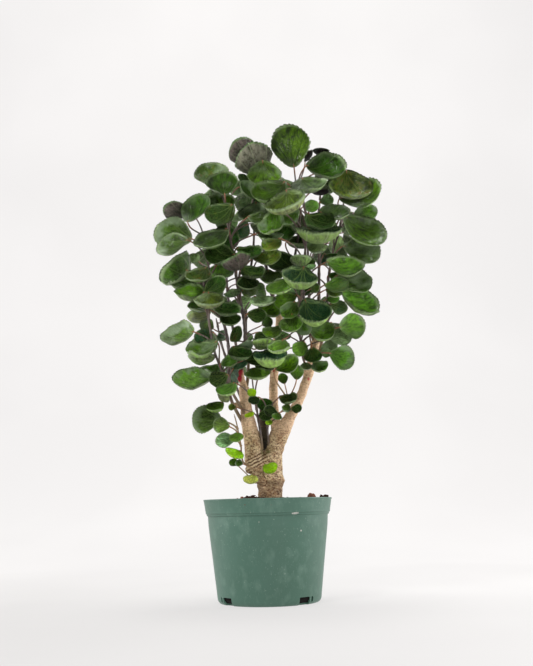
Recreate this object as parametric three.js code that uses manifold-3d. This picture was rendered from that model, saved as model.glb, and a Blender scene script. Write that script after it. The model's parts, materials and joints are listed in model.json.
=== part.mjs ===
// A Fabian aralia (Polyscias scutellaria) trained as a bonsai: a stout grey-tan bole that forks into
// three pruned limbs, thin dark stems that rise from the limbs, and round, cupped, blunt-toothed
// leaves on long stalks. It grows in a green nursery pot filled with potting mix.
// Millimetres, +Z up. The origin is the middle of the pot's underside, and -Y is the front.
import * as THREE from "three";
import Module from "manifold-3d";
import { mergeVertices } from "three/addons/utils/BufferGeometryUtils.js";

const wasm = await Module();
wasm.setup();

// Pot
const POT_HEIGHT = 160;
const RIM_RADIUS = 103;
const RIM_BAND = 24;
const NECK_RADIUS = 96;
const LIP_RADIUS = 99.5;
const FOOT_RADIUS = 82;
const CORNER = 8;
const WALL = 1.8;
const POT_SIDES = 32;
const DRAIN_HEIGHT = 8;
const DRAIN_GROUPS = [-52, 41, 139, 232];

// Soil
const SOIL_GAP = 0.3;
const CHIP_COUNT = 10;

// Plant
const SOCKET_GAP = 0.3;
const STEM_SIDES = 4;
const BLADE_THICKNESS = 1.2;
const STALK_RADIUS = 1.35;
const CROWN_DEPTH = 155;
const CROWN_HALF_WIDTH = 205;
const CROWN_MIDDLE_X = 18;
const GOLDEN_ANGLE = THREE.MathUtils.degToRad(137.5);
const SEED = 20117;
const CLEARANCE = 2.4;
const CROWDING = 10;
const SHIFTS = [0, -8, 8, -16, 16, -24, 24, -32, 32, -40, 40, -50, 50, -60, 60, 75, 90];

// The front view that the plant's places are read from: its size and centre in pixels, the eye in
// millimetres, and how the sight is raised and turned.
const VIEW_CENTRE = [266.5, 333];
const VIEW_FOCUS = 870;
const EYE = new THREE.Vector3(4.5, -1429, 142);
const VIEW_RAISE = THREE.MathUtils.degToRad(11.5);
const VIEW_TURN = THREE.MathUtils.degToRad(-1.3);

const UP = new THREE.Vector3(0, 0, 1);
const VIEW_RIGHT = new THREE.Vector3(Math.cos(VIEW_TURN), 0, 0)
  .addScaledVector(new THREE.Vector3(0, -Math.sin(VIEW_RAISE), Math.cos(VIEW_RAISE)), Math.sin(VIEW_TURN));
const VIEW_FORWARD = new THREE.Vector3(0, Math.cos(VIEW_RAISE), Math.sin(VIEW_RAISE));
const VIEW_UP = new THREE.Vector3().crossVectors(VIEW_RIGHT, VIEW_FORWARD);

// The point at depth y on the sight line through pixel (u, v) of the front view.
function spot(u, v, y) {
  const sight = VIEW_FORWARD.clone()
    .multiplyScalar(VIEW_FOCUS)
    .addScaledVector(VIEW_RIGHT, u - VIEW_CENTRE[0])
    .addScaledVector(VIEW_UP, VIEW_CENTRE[1] - v);
  return EYE.clone().addScaledVector(sight, (y - EYE.y) / sight.y);
}

// Millimetres to one pixel of the front view at a point.
function pixelSize(point) {
  return point.clone().sub(EYE).dot(VIEW_FORWARD) / VIEW_FOCUS;
}

let seed = SEED;
function random(low = 0, high = 1) {
  seed = (seed * 16807) % 2147483647;
  return low + ((high - low) * seed) / 2147483647;
}

// Woody limbs: [u, v, depth, radius] along each.
const LIMBS = {
  bole: [
    [269, 566, 0, 8], [269, 540, 0, 15], [269.5, 515, 0, 19], [270, 497, 0, 19.5], [271, 486, 0, 19],
    [271.5, 481, 0, 20.6], [271.3, 475, 0, 18.8], [271.5, 464, 0, 18.2], [272.8, 452, 0, 15.8],
    [277, 440, 0, 15.6], [280.5, 431, 0, 15], [284, 424, -1, 9],
  ],
  left: [
    [270, 478, 0, 14], [259, 468, -2, 16.5], [255, 460, -4, 16.8], [254, 450, -6, 15.2],
    [252.5, 440, -7, 14], [250, 430, -8, 12.8], [248, 420, -8, 11.5], [246.3, 410, -8, 9.8],
    [245, 400, -8, 8.7], [244, 387, -8, 8.6],
  ],
  middle: [
    [277, 444, 2, 11], [277, 432, 6, 10], [275.5, 421, 8, 8], [274.5, 410, 10, 7],
    [273.3, 390, 12, 7.3], [274.6, 370, 12, 7.2], [277, 345, 12, 7], [279, 325, 12, 6.3],
    [279.5, 313, 12, 6],
  ],
  right: [
    [279, 440, -2, 13], [285, 427, -3, 11.5], [289.3, 418, -4, 9.5], [294.4, 409, -5, 8.2],
    [299.2, 400, -5, 7.6], [303.2, 390, -6, 7.5], [307.2, 378, -6, 7.7], [310.8, 366, -6, 7.7],
    [313.5, 352, -6, 7.6], [316.5, 338, -6, 7.4],
  ],
};
const LIMB_SIDES = { bole: 11, left: 8, middle: 6, right: 7 };

// Leafy stems: the spray that each belongs to, where it runs in the front view with its depth, its
// radius at foot and tip, and how many leaves it bears on its far side.
const STEMS = {
  left_outer: {
    spray: "left_outer",
    path: [
      [246, 428, -4], [238, 414, -14], [232, 402, -18], [229, 388, -22], [229, 360, -24], [227, 336, -24],
      [220, 312, -26], [212, 288, -28], [208, 262, -28], [205, 240, -26],
    ],
    radii: [3.8, 2.2], far: 2,
  },
  left_low: {
    spray: "left_low",
    path: [
      [246, 416, -12], [239, 404, -28], [230, 388, -36], [221, 368, -42], [214, 350, -46], [210, 328, -48],
      [206, 300, -46], [203, 278, -42],
    ],
    radii: [3.3, 1.9], far: 1,
  },
  left_wood: {
    spray: "left_top",
    path: [
      [244.5, 393, -7], [242.5, 380, -9], [243, 360, -14], [245, 340, -20], [244, 320, -28], [240, 300, -36],
      [236, 275, -44], [232, 250, -50], [228, 225, -52], [226, 210, -52],
    ],
    radii: [4.2, 2.2], far: 2,
  },
  left_inner: {
    spray: "left_top",
    path: [
      [245.5, 393, -7], [248, 376, 0], [248, 355, 10], [246, 335, 16], [246, 310, 18], [249, 280, 16],
      [253, 252, 12], [254, 228, 8], [252, 208, 4],
    ],
    radii: [3.8, 2.2], far: 2,
  },
  mid_left: {
    spray: "middle",
    path: [
      [279.5, 321, 12], [274, 302, 4], [269, 284, -2], [266, 262, -10], [264, 240, -18], [264, 215, -24],
      [266, 198, -26],
    ],
    radii: [3.6, 2.1], far: 2,
  },
  mid_right: {
    spray: "middle",
    path: [
      [280, 321, 12], [286, 300, 6], [291, 275, 0], [296, 250, -6], [299, 228, -12], [299, 208, -16],
      [297, 194, -18],
    ],
    radii: [3.7, 2.1], far: 3,
  },
  right_inner: {
    spray: "right_top",
    path: [
      [315.5, 345, -6], [309, 328, -18], [304, 305, -30], [303, 280, -40], [305, 255, -46], [306, 230, -50],
      [306, 212, -52],
    ],
    radii: [3.4, 2], far: 2,
  },
  right_main: {
    spray: "right_top",
    path: [
      [316, 345, -6], [318, 322, 0], [319, 295, 2], [319, 268, 4], [319, 245, 4], [318, 222, 2], [320, 200, -2],
    ],
    radii: [3.9, 2.1], far: 2,
  },
  right_outer: {
    spray: "right_outer",
    path: [
      [312, 363, -4], [319, 352, 3], [324, 332, 4], [327, 303, 6], [329, 275, 12], [333, 252, 14], [339, 232, 14], [343, 214, 12],
    ],
    radii: [3.5, 2], far: 3,
  },
  right_low: {
    spray: "right_low",
    path: [
      [309, 371, -11], [305, 364, -20], [302, 352, -28], [300, 336, -34], [300, 318, -38], [301, 300, -40],
    ],
    radii: [2.6, 1.5], far: 0,
  },
  back_left: {
    spray: "left_top",
    path: [
      [245, 393, -6], [242, 374, 20], [235, 340, 54], [229, 305, 74], [226, 270, 86], [225, 238, 90],
      [227, 212, 88],
    ],
    radii: [3.8, 2.2], far: 5,
  },
  back_mid: {
    spray: "middle",
    path: [
      [279.8, 321, 13], [275, 302, 38], [267, 272, 66], [263, 242, 84], [263, 212, 92], [266, 190, 92],
    ],
    radii: [3.8, 2.2], far: 5,
  },
  back_right: {
    spray: "right_top",
    path: [
      [315.8, 345, -5], [312, 325, 26], [309, 295, 54], [308, 262, 74], [308, 230, 86], [309, 204, 90],
    ],
    radii: [3.8, 2.2], far: 5,
  },
  back_low_left: {
    spray: "back_low_left",
    path: [[247, 412, -2], [240, 396, 26], [230, 370, 52], [222, 345, 70], [216, 318, 80]],
    radii: [3.2, 2], far: 4,
  },
  back_low_right: {
    spray: "back_low_right",
    path: [[305, 380, -4], [309, 371, 12], [316, 353, 28], [325, 330, 44], [331, 305, 60], [335, 280, 68]],
    radii: [3.2, 2], far: 5,
  },
  sprout_left: {
    spray: "sprout_left",
    path: [
      [252, 466, -14], [244, 463, -18], [241.5, 455, -18], [241, 446, -17], [239, 436, -16], [237, 425, -15],
      [234, 414, -15],
    ],
    radii: [1.9, 1.2], far: 0,
  },
  sprout_base: {
    spray: "sprout_base",
    path: [[264, 485, -14], [257, 483, -19], [254, 481, -25]],
    radii: [1.6, 1.1], far: 0,
  },
  sprout_front: {
    spray: "sprout_front",
    path: [[266, 478, -14], [264, 476, -24], [264, 474, -32]],
    radii: [1.6, 1.1], far: 0,
  },
  sprout_fork: {
    spray: "sprout_fork",
    path: [[262, 449, -12], [261, 437, -16], [259, 424, -20], [257, 411, -22], [255, 403, -24]],
    radii: [3.2, 1.8], far: 0,
  },
  sprout_heart: {
    spray: "sprout_heart",
    path: [[270, 450, -10], [268, 436, -14], [267.5, 424, -18], [268, 414, -20]],
    radii: [2.6, 1.5], far: 0,
  },
  sprout_right: {
    spray: "sprout_right",
    path: [[293, 412, -9], [290, 408, -17], [289, 404, -20]],
    radii: [1.7, 1.1], far: 0,
  },
};

// Leaves seen from the front: [u, v, width in pixels, lean, tilt, out, form].
// lean is the way the upper face leans in the view, anticlockwise from the right, and tilt is how far
// it leans from facing the eye, both in degrees: past 90 the underside shows. out is how far the leaf
// stands towards the eye, from 0 in the middle of the crown to 1 on its front. form is a cup's depth.
const FLAT = 0.07;
const CUP = 0.16;
const BOWL = 0.27;
const LEAVES = [
  // crown, top
  [290.5, 145.5, 42, 90, 10, 0.45, FLAT], [243.5, 152.5, 32, 120, 154, 0.1, CUP], [254.5, 160.5, 40, 110, 148, 0.32, CUP],
  [212.5, 174.5, 36, 88, 46, 0.35, CUP], [222.5, 182.5, 33, 96, 46, 0.55, CUP], [264.5, 173.5, 37, 92, 48, 0.6, CUP],
  [269.5, 190, 39, 93, 57, 0.8, CUP], [251, 190, 28, 50, 62, 0.4, CUP], [244, 203, 11, 90, 25, 0.2, FLAT],
  [308, 155.5, 15, 145, 70, 0.1, FLAT], [321, 151, 17, 90, 70, 0.05, CUP], [326.5, 165, 40, 83, 50, 0.5, CUP],
  [308.5, 183.5, 38, 97, 71, 0.7, CUP], [285, 199.5, 45, 110, 70, 0.85, CUP], [320, 190, 20, 90, 98, 0.35, CUP],
  [351, 184.5, 48, 83, 57, 0.6, CUP], [360.5, 193, 42, 110, 43, 0.35, CUP], [366, 212.5, 23, 80, 34, 0.1, FLAT],
  [311, 206, 16, 90, 32, 0.3, FLAT], [327, 200, 14, 90, 25, 0.2, FLAT], [335, 211, 31, 85, 62, 0.5, CUP],
  [246, 180, 18, 55, 62, 0.2, FLAT],
  // crown, left shoulder
  [221, 203, 31, 95, 50, 0.42, CUP], [220.5, 213, 34, 92, 50, 0.65, CUP], [195, 207.5, 37, 128, 55, 0.5, CUP],
  [176.5, 211, 27, 100, 136, 0.2, CUP], [173, 234, 38, 120, 22, 0.3, CUP], [172, 244, 33, 120, 52, 0.65, CUP],
  [212, 238, 42, 106, 68, 0.7, CUP], [226, 237, 30, 60, 35, 0.4, FLAT], [252, 211, 32, 108, 64, 0.45, CUP],
  [261, 216.5, 28, 108, 62, 0.65, CUP], [243, 230, 20, 165, 45, 0.2, FLAT], [249, 250.5, 27, 92, 64, 0.5, CUP],
  [219, 253, 31, 95, 48, 0.3, CUP], [258, 200, 13, 90, 50, 0.2, FLAT],
  // crown, middle
  [271, 221.5, 31, 126, 52, 0.85, CUP], [288, 216, 27, 100, 48, 0.35, CUP], [319, 220, 34, 88, 61, 0.45, CUP],
  [318.5, 230, 50, 90, 84, 0.75, BOWL], [270, 235, 27, 90, 74, 0.6, CUP], [272, 244, 23, 95, 56, 0.75, CUP],
  [267, 257, 28, 100, 58, 0.55, CUP], [300.5, 260, 22, 90, 120, 0.5, CUP], [300.5, 275.5, 39, 80, 66, 0.85, BOWL],
  [310.5, 266.5, 11, 100, 60, 0.5, FLAT], [280, 286, 31, 103, 66, 0.8, CUP], [236, 260.5, 31, 114, 112, 0.75, CUP],
  [252, 271, 26, 92, 62, 0.4, CUP], [247.5, 282.5, 23, 85, 56, 0.6, CUP], [233, 291, 20, 110, 96, 0.45, CUP],
  [262, 300, 28, 93, 72, 0.6, CUP], [285, 300, 25, 110, 46, 0.4, CUP], [290, 310, 22, 100, 38, 0.65, FLAT],
  [297, 291, 17, 100, 45, 0.3, FLAT], [314.5, 310.5, 36, 90, 50, 0.8, BOWL], [300, 240, 28, 90, 72, 0.3, CUP],
  [283, 232, 26, 90, 58, 0.2, CUP], [281, 262, 30, 90, 50, 0.3, CUP], [271, 276, 24, 100, 60, 0.3, CUP],
  [249, 292, 17, 100, 58, 0.3, FLAT], [271, 308, 25, 95, 48, 0.3, CUP], [305, 262, 22, 90, 60, 0.2, CUP],
  [304, 290, 20, 90, 55, 0.15, CUP], [315, 288, 11, 165, 40, 0.5, FLAT], [317, 247, 20, 90, 58, 0.2, CUP],
  // crown, right shoulder
  [364.5, 229.5, 50, 64, 57, 0.55, CUP], [362.5, 249.5, 39, 70, 44, 0.35, CUP], [336, 244.5, 20, 140, 45, 0, FLAT],
  [345.5, 264.5, 37, 82, 56, 0.5, CUP], [355.5, 280, 36, 72, 49, 0.3, CUP], [337, 284.5, 25, 98, 50, 0.5, FLAT],
  [360.5, 299.5, 40, 63, 56, 0.45, CUP], [339, 307, 17, 60, 22, 0.25, FLAT], [352.5, 326, 29, 32, 32, 0.4, CUP],
  [341, 336, 23, 80, 28, 0.3, FLAT], [342.5, 357.5, 27, 40, 24, 0.35, CUP], [322, 331, 27, 90, 46, 0.5, BOWL],
  [334, 292, 17, 80, 58, 0.5, FLAT], [337, 276, 17, 90, 58, 0.25, CUP], [331, 257, 17, 90, 58, 0.3, FLAT],
  [322, 260, 13, 150, 40, 0.1, FLAT], [333, 299, 13, 90, 45, 0.15, FLAT], [329, 347, 19, 110, 48, 0.2, CUP],
  [326, 353, 11, 95, 30, 0.3, FLAT],
  // crown, left flank
  [176, 268, 43, 139, 63, 0.45, CUP], [194, 258.5, 14, 110, 40, 0.1, FLAT], [199, 274, 29, 97, 63, 0.55, CUP],
  [184, 282.5, 29, 90, 70, 0.35, CUP], [190, 290.5, 32, 92, 64, 0.5, CUP], [215, 286, 26, 127, 44, 0.7, CUP],
  [209.5, 298.5, 33, 94, 69, 0.75, CUP], [199, 305.5, 23, 90, 65, 0.35, CUP], [199, 315, 26, 100, 116, 0.3, CUP],
  [226, 307.5, 30, 84, 63, 0.6, CUP], [230, 318, 23, 90, 56, 0.4, CUP], [228, 259, 26, 100, 60, 0.4, CUP],
  [221, 272, 28, 95, 54, 0.3, CUP], [178, 332.5, 36, 120, 54, 0.35, CUP], [207, 325, 15, 100, 30, 0.05, FLAT],
  [204, 337, 21, 115, 38, 0.3, CUP], [202, 347, 34, 99, 67, 0.6, CUP], [202, 357.5, 27, 92, 112, 0.4, CUP],
  [241, 304, 24, 120, 48, 0.35, FLAT], [222, 336, 13, 150, 40, 0.05, FLAT],
  // crown, skirt
  [193.5, 377, 41, 97, 58, 0.35, CUP], [212.5, 368.5, 27, 93, 73, 0.2, CUP], [218.5, 379, 20, 90, 28, 0.5, FLAT],
  [227, 388.5, 24, 100, 62, 0.6, CUP], [229, 361, 18, 115, 48, 0.4, CUP], [232, 375, 25, 175, 50, 0.3, FLAT],
  [236, 334.5, 18, 165, 48, 0.3, FLAT], [240, 352, 26, 90, 62, 0.5, CUP], [257, 315, 19, 95, 36, 0.4, FLAT],
  [267, 321.5, 14, 20, 36, 0.3, FLAT], [262, 336, 17, 97, 56, 0.5, CUP], [271, 354.5, 37, 94, 74, 0.62, BOWL],
  [279, 345.5, 25, 98, 65, 0.8, CUP], [291, 323, 25, 105, 48, 0.7, CUP], [272.5, 331, 22, 92, 58, 0.55, CUP],
  [303.5, 328.5, 18, 90, 42, 0.4, FLAT], [287, 364, 25, 120, 44, 0.55, CUP], [296.5, 372, 16, 60, 26, 0.45, FLAT],
  [283, 378.5, 11, 90, 12, 0.3, FLAT], [300.5, 348.5, 18, 70, 32, 0.3, FLAT], [313, 355.5, 20, 100, 44, 0.5, CUP],
  [319.5, 365.5, 19, 102, 57, 0.5, CUP], [257.5, 373, 27, 95, 68, 0.45, CUP], [263, 343.5, 24, 92, 116, 0.4, CUP],
  [246, 346, 15, 120, 40, 0.3, FLAT], [240, 364, 17, 120, 50, 0.2, FLAT], [264, 366, 22, 85, 52, 0.3, CUP],
  [256, 359, 22, 90, 52, 0.2, CUP], [249, 337.5, 9, 90, 20, 0.1, FLAT], [306, 366, 13, 90, 58, 0.3, FLAT],
  [282, 336, 18, 90, 58, 0.2, FLAT],
  // sprouts on the limbs and the bole
  [206, 418.5, 31, 130, 26, 0.15, FLAT], [215.5, 406, 20, 95, 65, 0.25, CUP], [221, 425, 17, 90, 18, 0.25, FLAT],
  [225, 440, 19, 100, 35, 0.2, CUP], [236.5, 437, 16, 100, 56, 0.28, CUP], [235, 453, 21, 70, 68, 0.3, CUP],
  [233.5, 462.5, 9, 90, 15, 0.2, FLAT], [239, 463, 8, 90, 20, 0.25, FLAT], [251, 479, 17, 90, 60, 0.3, CUP],
  [270, 468, 16, 105, 46, 0.33, CUP], [249.5, 414.5, 11, 110, 64, 0.3, FLAT], [252, 393, 10, 90, 12, 0.26, FLAT],
  [254, 400, 13, 90, 50, 0.3, FLAT], [265, 405, 17, 90, 32, 0.22, FLAT], [271, 411, 15, 60, 40, 0.3, FLAT],
  [277, 416, 11, 80, 50, 0.26, FLAT], [269, 422, 8, 90, 40, 0.28, FLAT], [288, 398, 19, 105, 58, 0.28, CUP],
  [286.5, 408, 10, 80, 32, 0.3, FLAT], [296.5, 408.5, 11, 100, 33, 0.28, FLAT], [223.5, 397, 14, 60, 130, 0.2, CUP],
  [232, 407, 8, 90, 30, 0.25, FLAT], [266, 415, 15, 90, 40, 0.18, FLAT],
];

// A closed solid from a geometry's faces.
function solid(geometry) {
  const bare = geometry.clone();
  bare.deleteAttribute("normal");
  bare.deleteAttribute("uv");
  const merged = mergeVertices(bare, 1e-4);
  return new wasm.Manifold(
    new wasm.Mesh({
      numProp: 3,
      vertProperties: merged.attributes.position.array,
      triVerts: new Uint32Array(merged.index.array),
    }),
  );
}

function fuse(solids) {
  return solids.reduce((whole, piece) => whole.add(piece));
}

function geometryOf(corners, faces) {
  const geometry = new THREE.BufferGeometry();
  geometry.setAttribute("position", new THREE.Float32BufferAttribute(corners.flatMap((c) => c.toArray()), 3));
  geometry.setIndex(faces.flat());
  return geometry;
}

function mesh(name, shape, color) {
  const made = shape.getMesh();
  const geometry = new THREE.BufferGeometry();
  geometry.setAttribute("position", new THREE.BufferAttribute(made.vertProperties, 3));
  geometry.setIndex(new THREE.BufferAttribute(made.triVerts, 1));
  geometry.computeVertexNormals();
  const piece = new THREE.Mesh(geometry, new THREE.MeshStandardMaterial({ color, flatShading: true }));
  piece.name = name;
  return piece;
}

// Points with radii on a smooth curve through the given ones, with steps points to each span.
function smooth(knots, steps) {
  const at = (i) => knots[Math.min(Math.max(i, 0), knots.length - 1)];
  const line = [];
  for (let i = 0; i < knots.length - 1; i += 1) {
    const [a, b, c, d] = [at(i - 1), at(i), at(i + 1), at(i + 2)];
    for (let k = 0; k < steps; k += 1) {
      const t = k / steps;
      const weights = [
        ((2 - t) * t - 1) * t * 0.5,
        ((3 * t - 5) * t * t + 2) * 0.5,
        ((4 - 3 * t) * t + 1) * t * 0.5,
        (t - 1) * t * t * 0.5,
      ];
      const point = new THREE.Vector3();
      [a, b, c, d].forEach((knot, n) => point.addScaledVector(knot.point, weights[n]));
      line.push({ point, radius: b.radius + (c.radius - b.radius) * t });
    }
  }
  line.push(at(knots.length - 1));
  return line;
}

// The same line with points no more than gap apart.
function dense(line, gap) {
  const points = [line[0]];
  for (let i = 1; i < line.length; i += 1) {
    const from = line[i - 1];
    const to = line[i];
    const count = Math.ceil(from.point.distanceTo(to.point) / gap);
    for (let k = 1; k <= count; k += 1) {
      points.push({
        point: from.point.clone().lerp(to.point, k / count),
        radius: from.radius + ((to.radius - from.radius) * k) / count,
      });
    }
  }
  return points;
}

// A closed tube along a line of points with radii.
function tube(line, sides, extra = 0) {
  const corners = [];
  const faces = [];
  const across = new THREE.Vector3(1, 0.2, 0);
  line.forEach(({ point, radius }, i) => {
    const along = line[Math.min(i + 1, line.length - 1)].point.clone();
    along.sub(line[Math.max(i - 1, 0)].point).normalize();
    across.addScaledVector(along, -across.dot(along)).normalize();
    const other = new THREE.Vector3().crossVectors(along, across);
    for (let k = 0; k < sides; k += 1) {
      const angle = (2 * Math.PI * k) / sides;
      corners.push(
        point
          .clone()
          .addScaledVector(across, Math.cos(angle) * (radius + extra))
          .addScaledVector(other, Math.sin(angle) * (radius + extra)),
      );
    }
  });
  const ends = corners.length;
  corners.push(line[0].point.clone(), line[line.length - 1].point.clone());
  const last = (line.length - 1) * sides;
  for (let k = 0; k < sides; k += 1) {
    const next = (k + 1) % sides;
    for (let start = 0; start < last; start += sides) {
      faces.push([start + k, start + next, start + sides + next], [start + k, start + sides + next, start + sides + k]);
    }
    faces.push([ends, next, k], [ends + 1, last + k, last + next]);
  }
  return solid(geometryOf(corners, faces));
}

function knotsOf(path) {
  return path.map(([u, v, depth, radius]) => ({ point: spot(u, v, depth), radius }));
}

// How far the margin lies from the middle of a blade, as a part of half its width. The stalk joins
// at half a turn.
function marginAt(angle) {
  const back = Math.max(0, -Math.cos(angle));
  return 1 - 0.14 * (1 - (1 - back) ** 3) + 0.2 * back ** 10;
}

// How high the blade stands at a part of the way from its middle to its margin, in widths.
function cupAt(leaf, part) {
  return leaf.form * (part * part - 0.85);
}

function onLeaf(leaf, along, across, rise) {
  return leaf.middle
    .clone()
    .addScaledVector(leaf.rib, along)
    .addScaledVector(leaf.side, across)
    .addScaledVector(leaf.face, rise);
}

// A leaf's place and frame from its middle, its upper face's direction and where its stalk starts.
function leafFrame(middle, face, start, width, form) {
  const reach = middle.clone().sub(start).normalize();
  const rib = reach.clone().addScaledVector(face, -reach.dot(face));
  rib.addScaledVector(UP, -0.12).addScaledVector(face, 0.12 * UP.dot(face)).normalize();
  const leaf = { middle, face, rib, side: new THREE.Vector3().crossVectors(face, rib), width, form };
  leaf.base = onLeaf(leaf, -0.5 * width, 0, cupAt(leaf, 1) * width);
  leaf.margin = [];
  const count = Math.max(8, Math.ceil((Math.PI * width) / 4.5));
  for (let k = 0; k < count; k += 1) {
    const angle = (2 * Math.PI * k) / count;
    const far = 0.5 * width * marginAt(angle);
    leaf.margin.push(onLeaf(leaf, far * Math.cos(angle), far * Math.sin(angle), cupAt(leaf, 1) * width));
  }
  return leaf;
}

// The stalk's line from its start on a stem, bent to run with the stem at first and to come up under
// the blade, and sunk into both.
function stalkLine(start, growth, leaf) {
  const reach = leaf.base.clone().sub(start);
  const length = reach.length();
  const leave = reach.clone().multiplyScalar(0.6 / length).addScaledVector(growth, 0.6).normalize();
  const arrive = reach.clone().multiplyScalar(0.5 / length);
  arrive.addScaledVector(leaf.rib, 0.7).addScaledVector(leaf.face, 0.4).normalize();
  const first = start.clone().addScaledVector(leave, 0.35 * length);
  const second = leaf.base.clone().addScaledVector(arrive, -0.35 * length);
  const bend = new THREE.CubicBezierCurve3(start, first, second, leaf.base);
  const line = [0, 0.45, 1].map((t) => ({ point: bend.getPoint(t), radius: leaf.stalk }));
  const inner = 0.86;
  line.push({
    point: onLeaf(leaf, -0.5 * leaf.width * inner, 0, cupAt(leaf, inner) * leaf.width),
    radius: leaf.stalk,
  });
  return line;
}

// Whether a point with a radius comes too near a blade.
function nearBlade(leaf, point, radius) {
  const from = point.clone().sub(leaf.middle);
  const high = from.dot(leaf.face);
  if (Math.abs(high) > 0.6 * leaf.width + radius) return false;
  const along = from.dot(leaf.rib);
  const across = from.dot(leaf.side);
  const part = Math.hypot(along, across) / (0.5 * leaf.width);
  if (part > 1 + (2 * radius + 2) / leaf.width) return false;
  return Math.abs(high - cupAt(leaf, Math.min(part, 1)) * leaf.width) < radius + CLEARANCE;
}

function tooNear(points, others, gap) {
  return points.some((a) => others.some((b) => a.point.distanceTo(b.point) < a.radius + b.radius + gap));
}

function bladeClear(leaf, other) {
  const reach = 0.6 * (leaf.width + other.width);
  if (leaf.middle.distanceTo(other.middle) > reach) return true;
  return (
    !other.margin.some((point) => nearBlade(leaf, point, 0)) && !leaf.margin.some((point) => nearBlade(other, point, 0))
  );
}

function lineClear(points, leaf) {
  return !points.some(({ point, radius }) => nearBlade(leaf, point, radius));
}

// Stems as smooth lines, and as close-set points with the way they grow.
const stems = Object.entries(STEMS).map(([name, { spray, path, radii, far }]) => {
  const knots = path.map(([u, v, depth], i) => ({
    point: spot(u, v, depth),
    radius: radii[0] + ((radii[1] - radii[0]) * i) / (path.length - 1),
  }));
  const points = dense(smooth(knots, 4), 4);
  const line = smooth(knots, path.length > 5 ? 1 : 2);
  const foot = path.length > 5 ? Math.floor(points.length * 0.25) : Math.floor(points.length * 0.6);
  return { name, spray, line, points, foot, far, starts: [] };
});
const limbPoints = Object.values(LIMBS).flatMap((path) => dense(smooth(knotsOf(path), 3), 4));
const leaves = [];

// The direction in which a stem grows at one of its points.
function growthAt(stem, index) {
  const near = stem.points[Math.max(index - 1, 0)].point;
  const ahead = stem.points[Math.min(index + 1, stem.points.length - 1)].point;
  return ahead.clone().sub(near).normalize();
}

// Places on the stems where a leaf's stalk may start, the best first, one for each stem.
function starts(middle, width) {
  const found = stems.map((stem) => {
    let best = { cost: Infinity };
    for (let i = stem.foot; i < stem.points.length; i += 1) {
      const reach = middle.clone().sub(stem.points[i].point);
      const far = reach.length();
      const steep = Math.max(0, 0.35 - reach.z / far);
      const short = Math.max(0, 0.8 * width + 4 - far);
      const crowd = stem.starts.filter((used) => Math.abs(used - i) < 4).length;
      const long = Math.max(0, far - 0.5 * width - 50);
      const cost = far + 45 * steep + 4 * short + 2 * long + CROWDING * crowd;
      if (cost < best.cost) best = { cost, stem, index: i };
    }
    return best;
  });
  found.sort((a, b) => a.cost - b.cost);
  return found.slice(0, 4);
}

function makeLeaf(middle, face, width, form, { stem, index }) {
  const start = stem.points[index].point;
  const leaf = leafFrame(middle, face, start, width, form);
  leaf.spray = stem.spray;
  leaf.stem = stem;
  leaf.index = index;
  leaf.stalk = Math.min(STALK_RADIUS, 0.7 + 0.02 * width);
  leaf.line = stalkLine(start, growthAt(stem, index), leaf);
  leaf.points = dense(leaf.line, 4);
  leaf.free = leaf.points.slice(0, -2);
  return leaf;
}

// Whether a leaf keeps clear of everything else, or with only set of what isn't its own spray.
function isClear(leaf, only) {
  for (const stem of stems) {
    const own = stem.spray === leaf.spray;
    if (stem === leaf.stem || (own && only)) continue;
    if (!own && tooNear(leaf.points, stem.points, 2)) return false;
    if (!lineClear(stem.points, leaf)) return false;
  }
  if (!lineClear(limbPoints, leaf)) return false;
  if (tooNear(leaf.points.slice(3), limbPoints, 2)) return false;
  for (const other of leaves) {
    const own = other.spray === leaf.spray;
    if (own && only) continue;
    if (leaf.middle.distanceTo(other.middle) > 260) continue;
    if (!bladeClear(leaf, other)) return false;
    if (!lineClear(other.free, leaf) || !lineClear(leaf.free, other)) return false;
    if (!own && tooNear(leaf.points, other.points, 2)) return false;
  }
  return !leaf.margin.some((point) => point.z < POT_HEIGHT + 8);
}

function keep(leaf) {
  leaves.push(leaf);
  leaf.stem.starts.push(leaf.index);
  return true;
}

function crownDepth(x) {
  const aside = (x - CROWN_MIDDLE_X) / CROWN_HALF_WIDTH;
  return CROWN_DEPTH * Math.sqrt(Math.max(0.15, 1 - aside * aside));
}

// A leaf seen from the front, moved along its sight line until it is clear.
function placeSeen([u, v, size, lean, tilt, out, form]) {
  const depth = -out * crownDepth(spot(u, v, 0).x);
  for (const only of [false, true]) {
    for (const shift of SHIFTS) {
      const middle = spot(u, v, depth + shift);
      const eye = EYE.clone().sub(middle).normalize();
      const right = VIEW_RIGHT.clone().addScaledVector(eye, -VIEW_RIGHT.dot(eye)).normalize();
      const up = new THREE.Vector3().crossVectors(eye, right);
      const turn = THREE.MathUtils.degToRad(lean);
      const away = THREE.MathUtils.degToRad(tilt);
      const face = eye.multiplyScalar(Math.cos(away));
      face.addScaledVector(right, Math.sin(away) * Math.cos(turn));
      face.addScaledVector(up, Math.sin(away) * Math.sin(turn));
      const width = size * pixelSize(middle);
      for (const start of starts(middle, width)) {
        const leaf = makeLeaf(middle, face, width, form, start);
        if (isClear(leaf, only)) {
          leaf.seen = { u, v, half: 0.5 * size, turn, flat: Math.abs(Math.cos(away)) + form * Math.sin(away) };
          return keep(leaf);
        }
      }
    }
  }
  return false;
}

// Whether a point lies behind a leaf that is seen from the front.
function hidden(point) {
  const sight = point.clone().sub(EYE);
  const scale = VIEW_FOCUS / sight.dot(VIEW_FORWARD);
  const u = VIEW_CENTRE[0] + sight.dot(VIEW_RIGHT) * scale;
  const v = VIEW_CENTRE[1] - sight.dot(VIEW_UP) * scale;
  return leaves.some(({ seen, middle }) => {
    if (!seen || middle.y > point.y) return false;
    const [x, y] = [u - seen.u, seen.v - v];
    const low = x * Math.cos(seen.turn) + y * Math.sin(seen.turn);
    const long = y * Math.cos(seen.turn) - x * Math.sin(seen.turn);
    return Math.hypot(long, low / seen.flat) < seen.half;
  });
}

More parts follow.
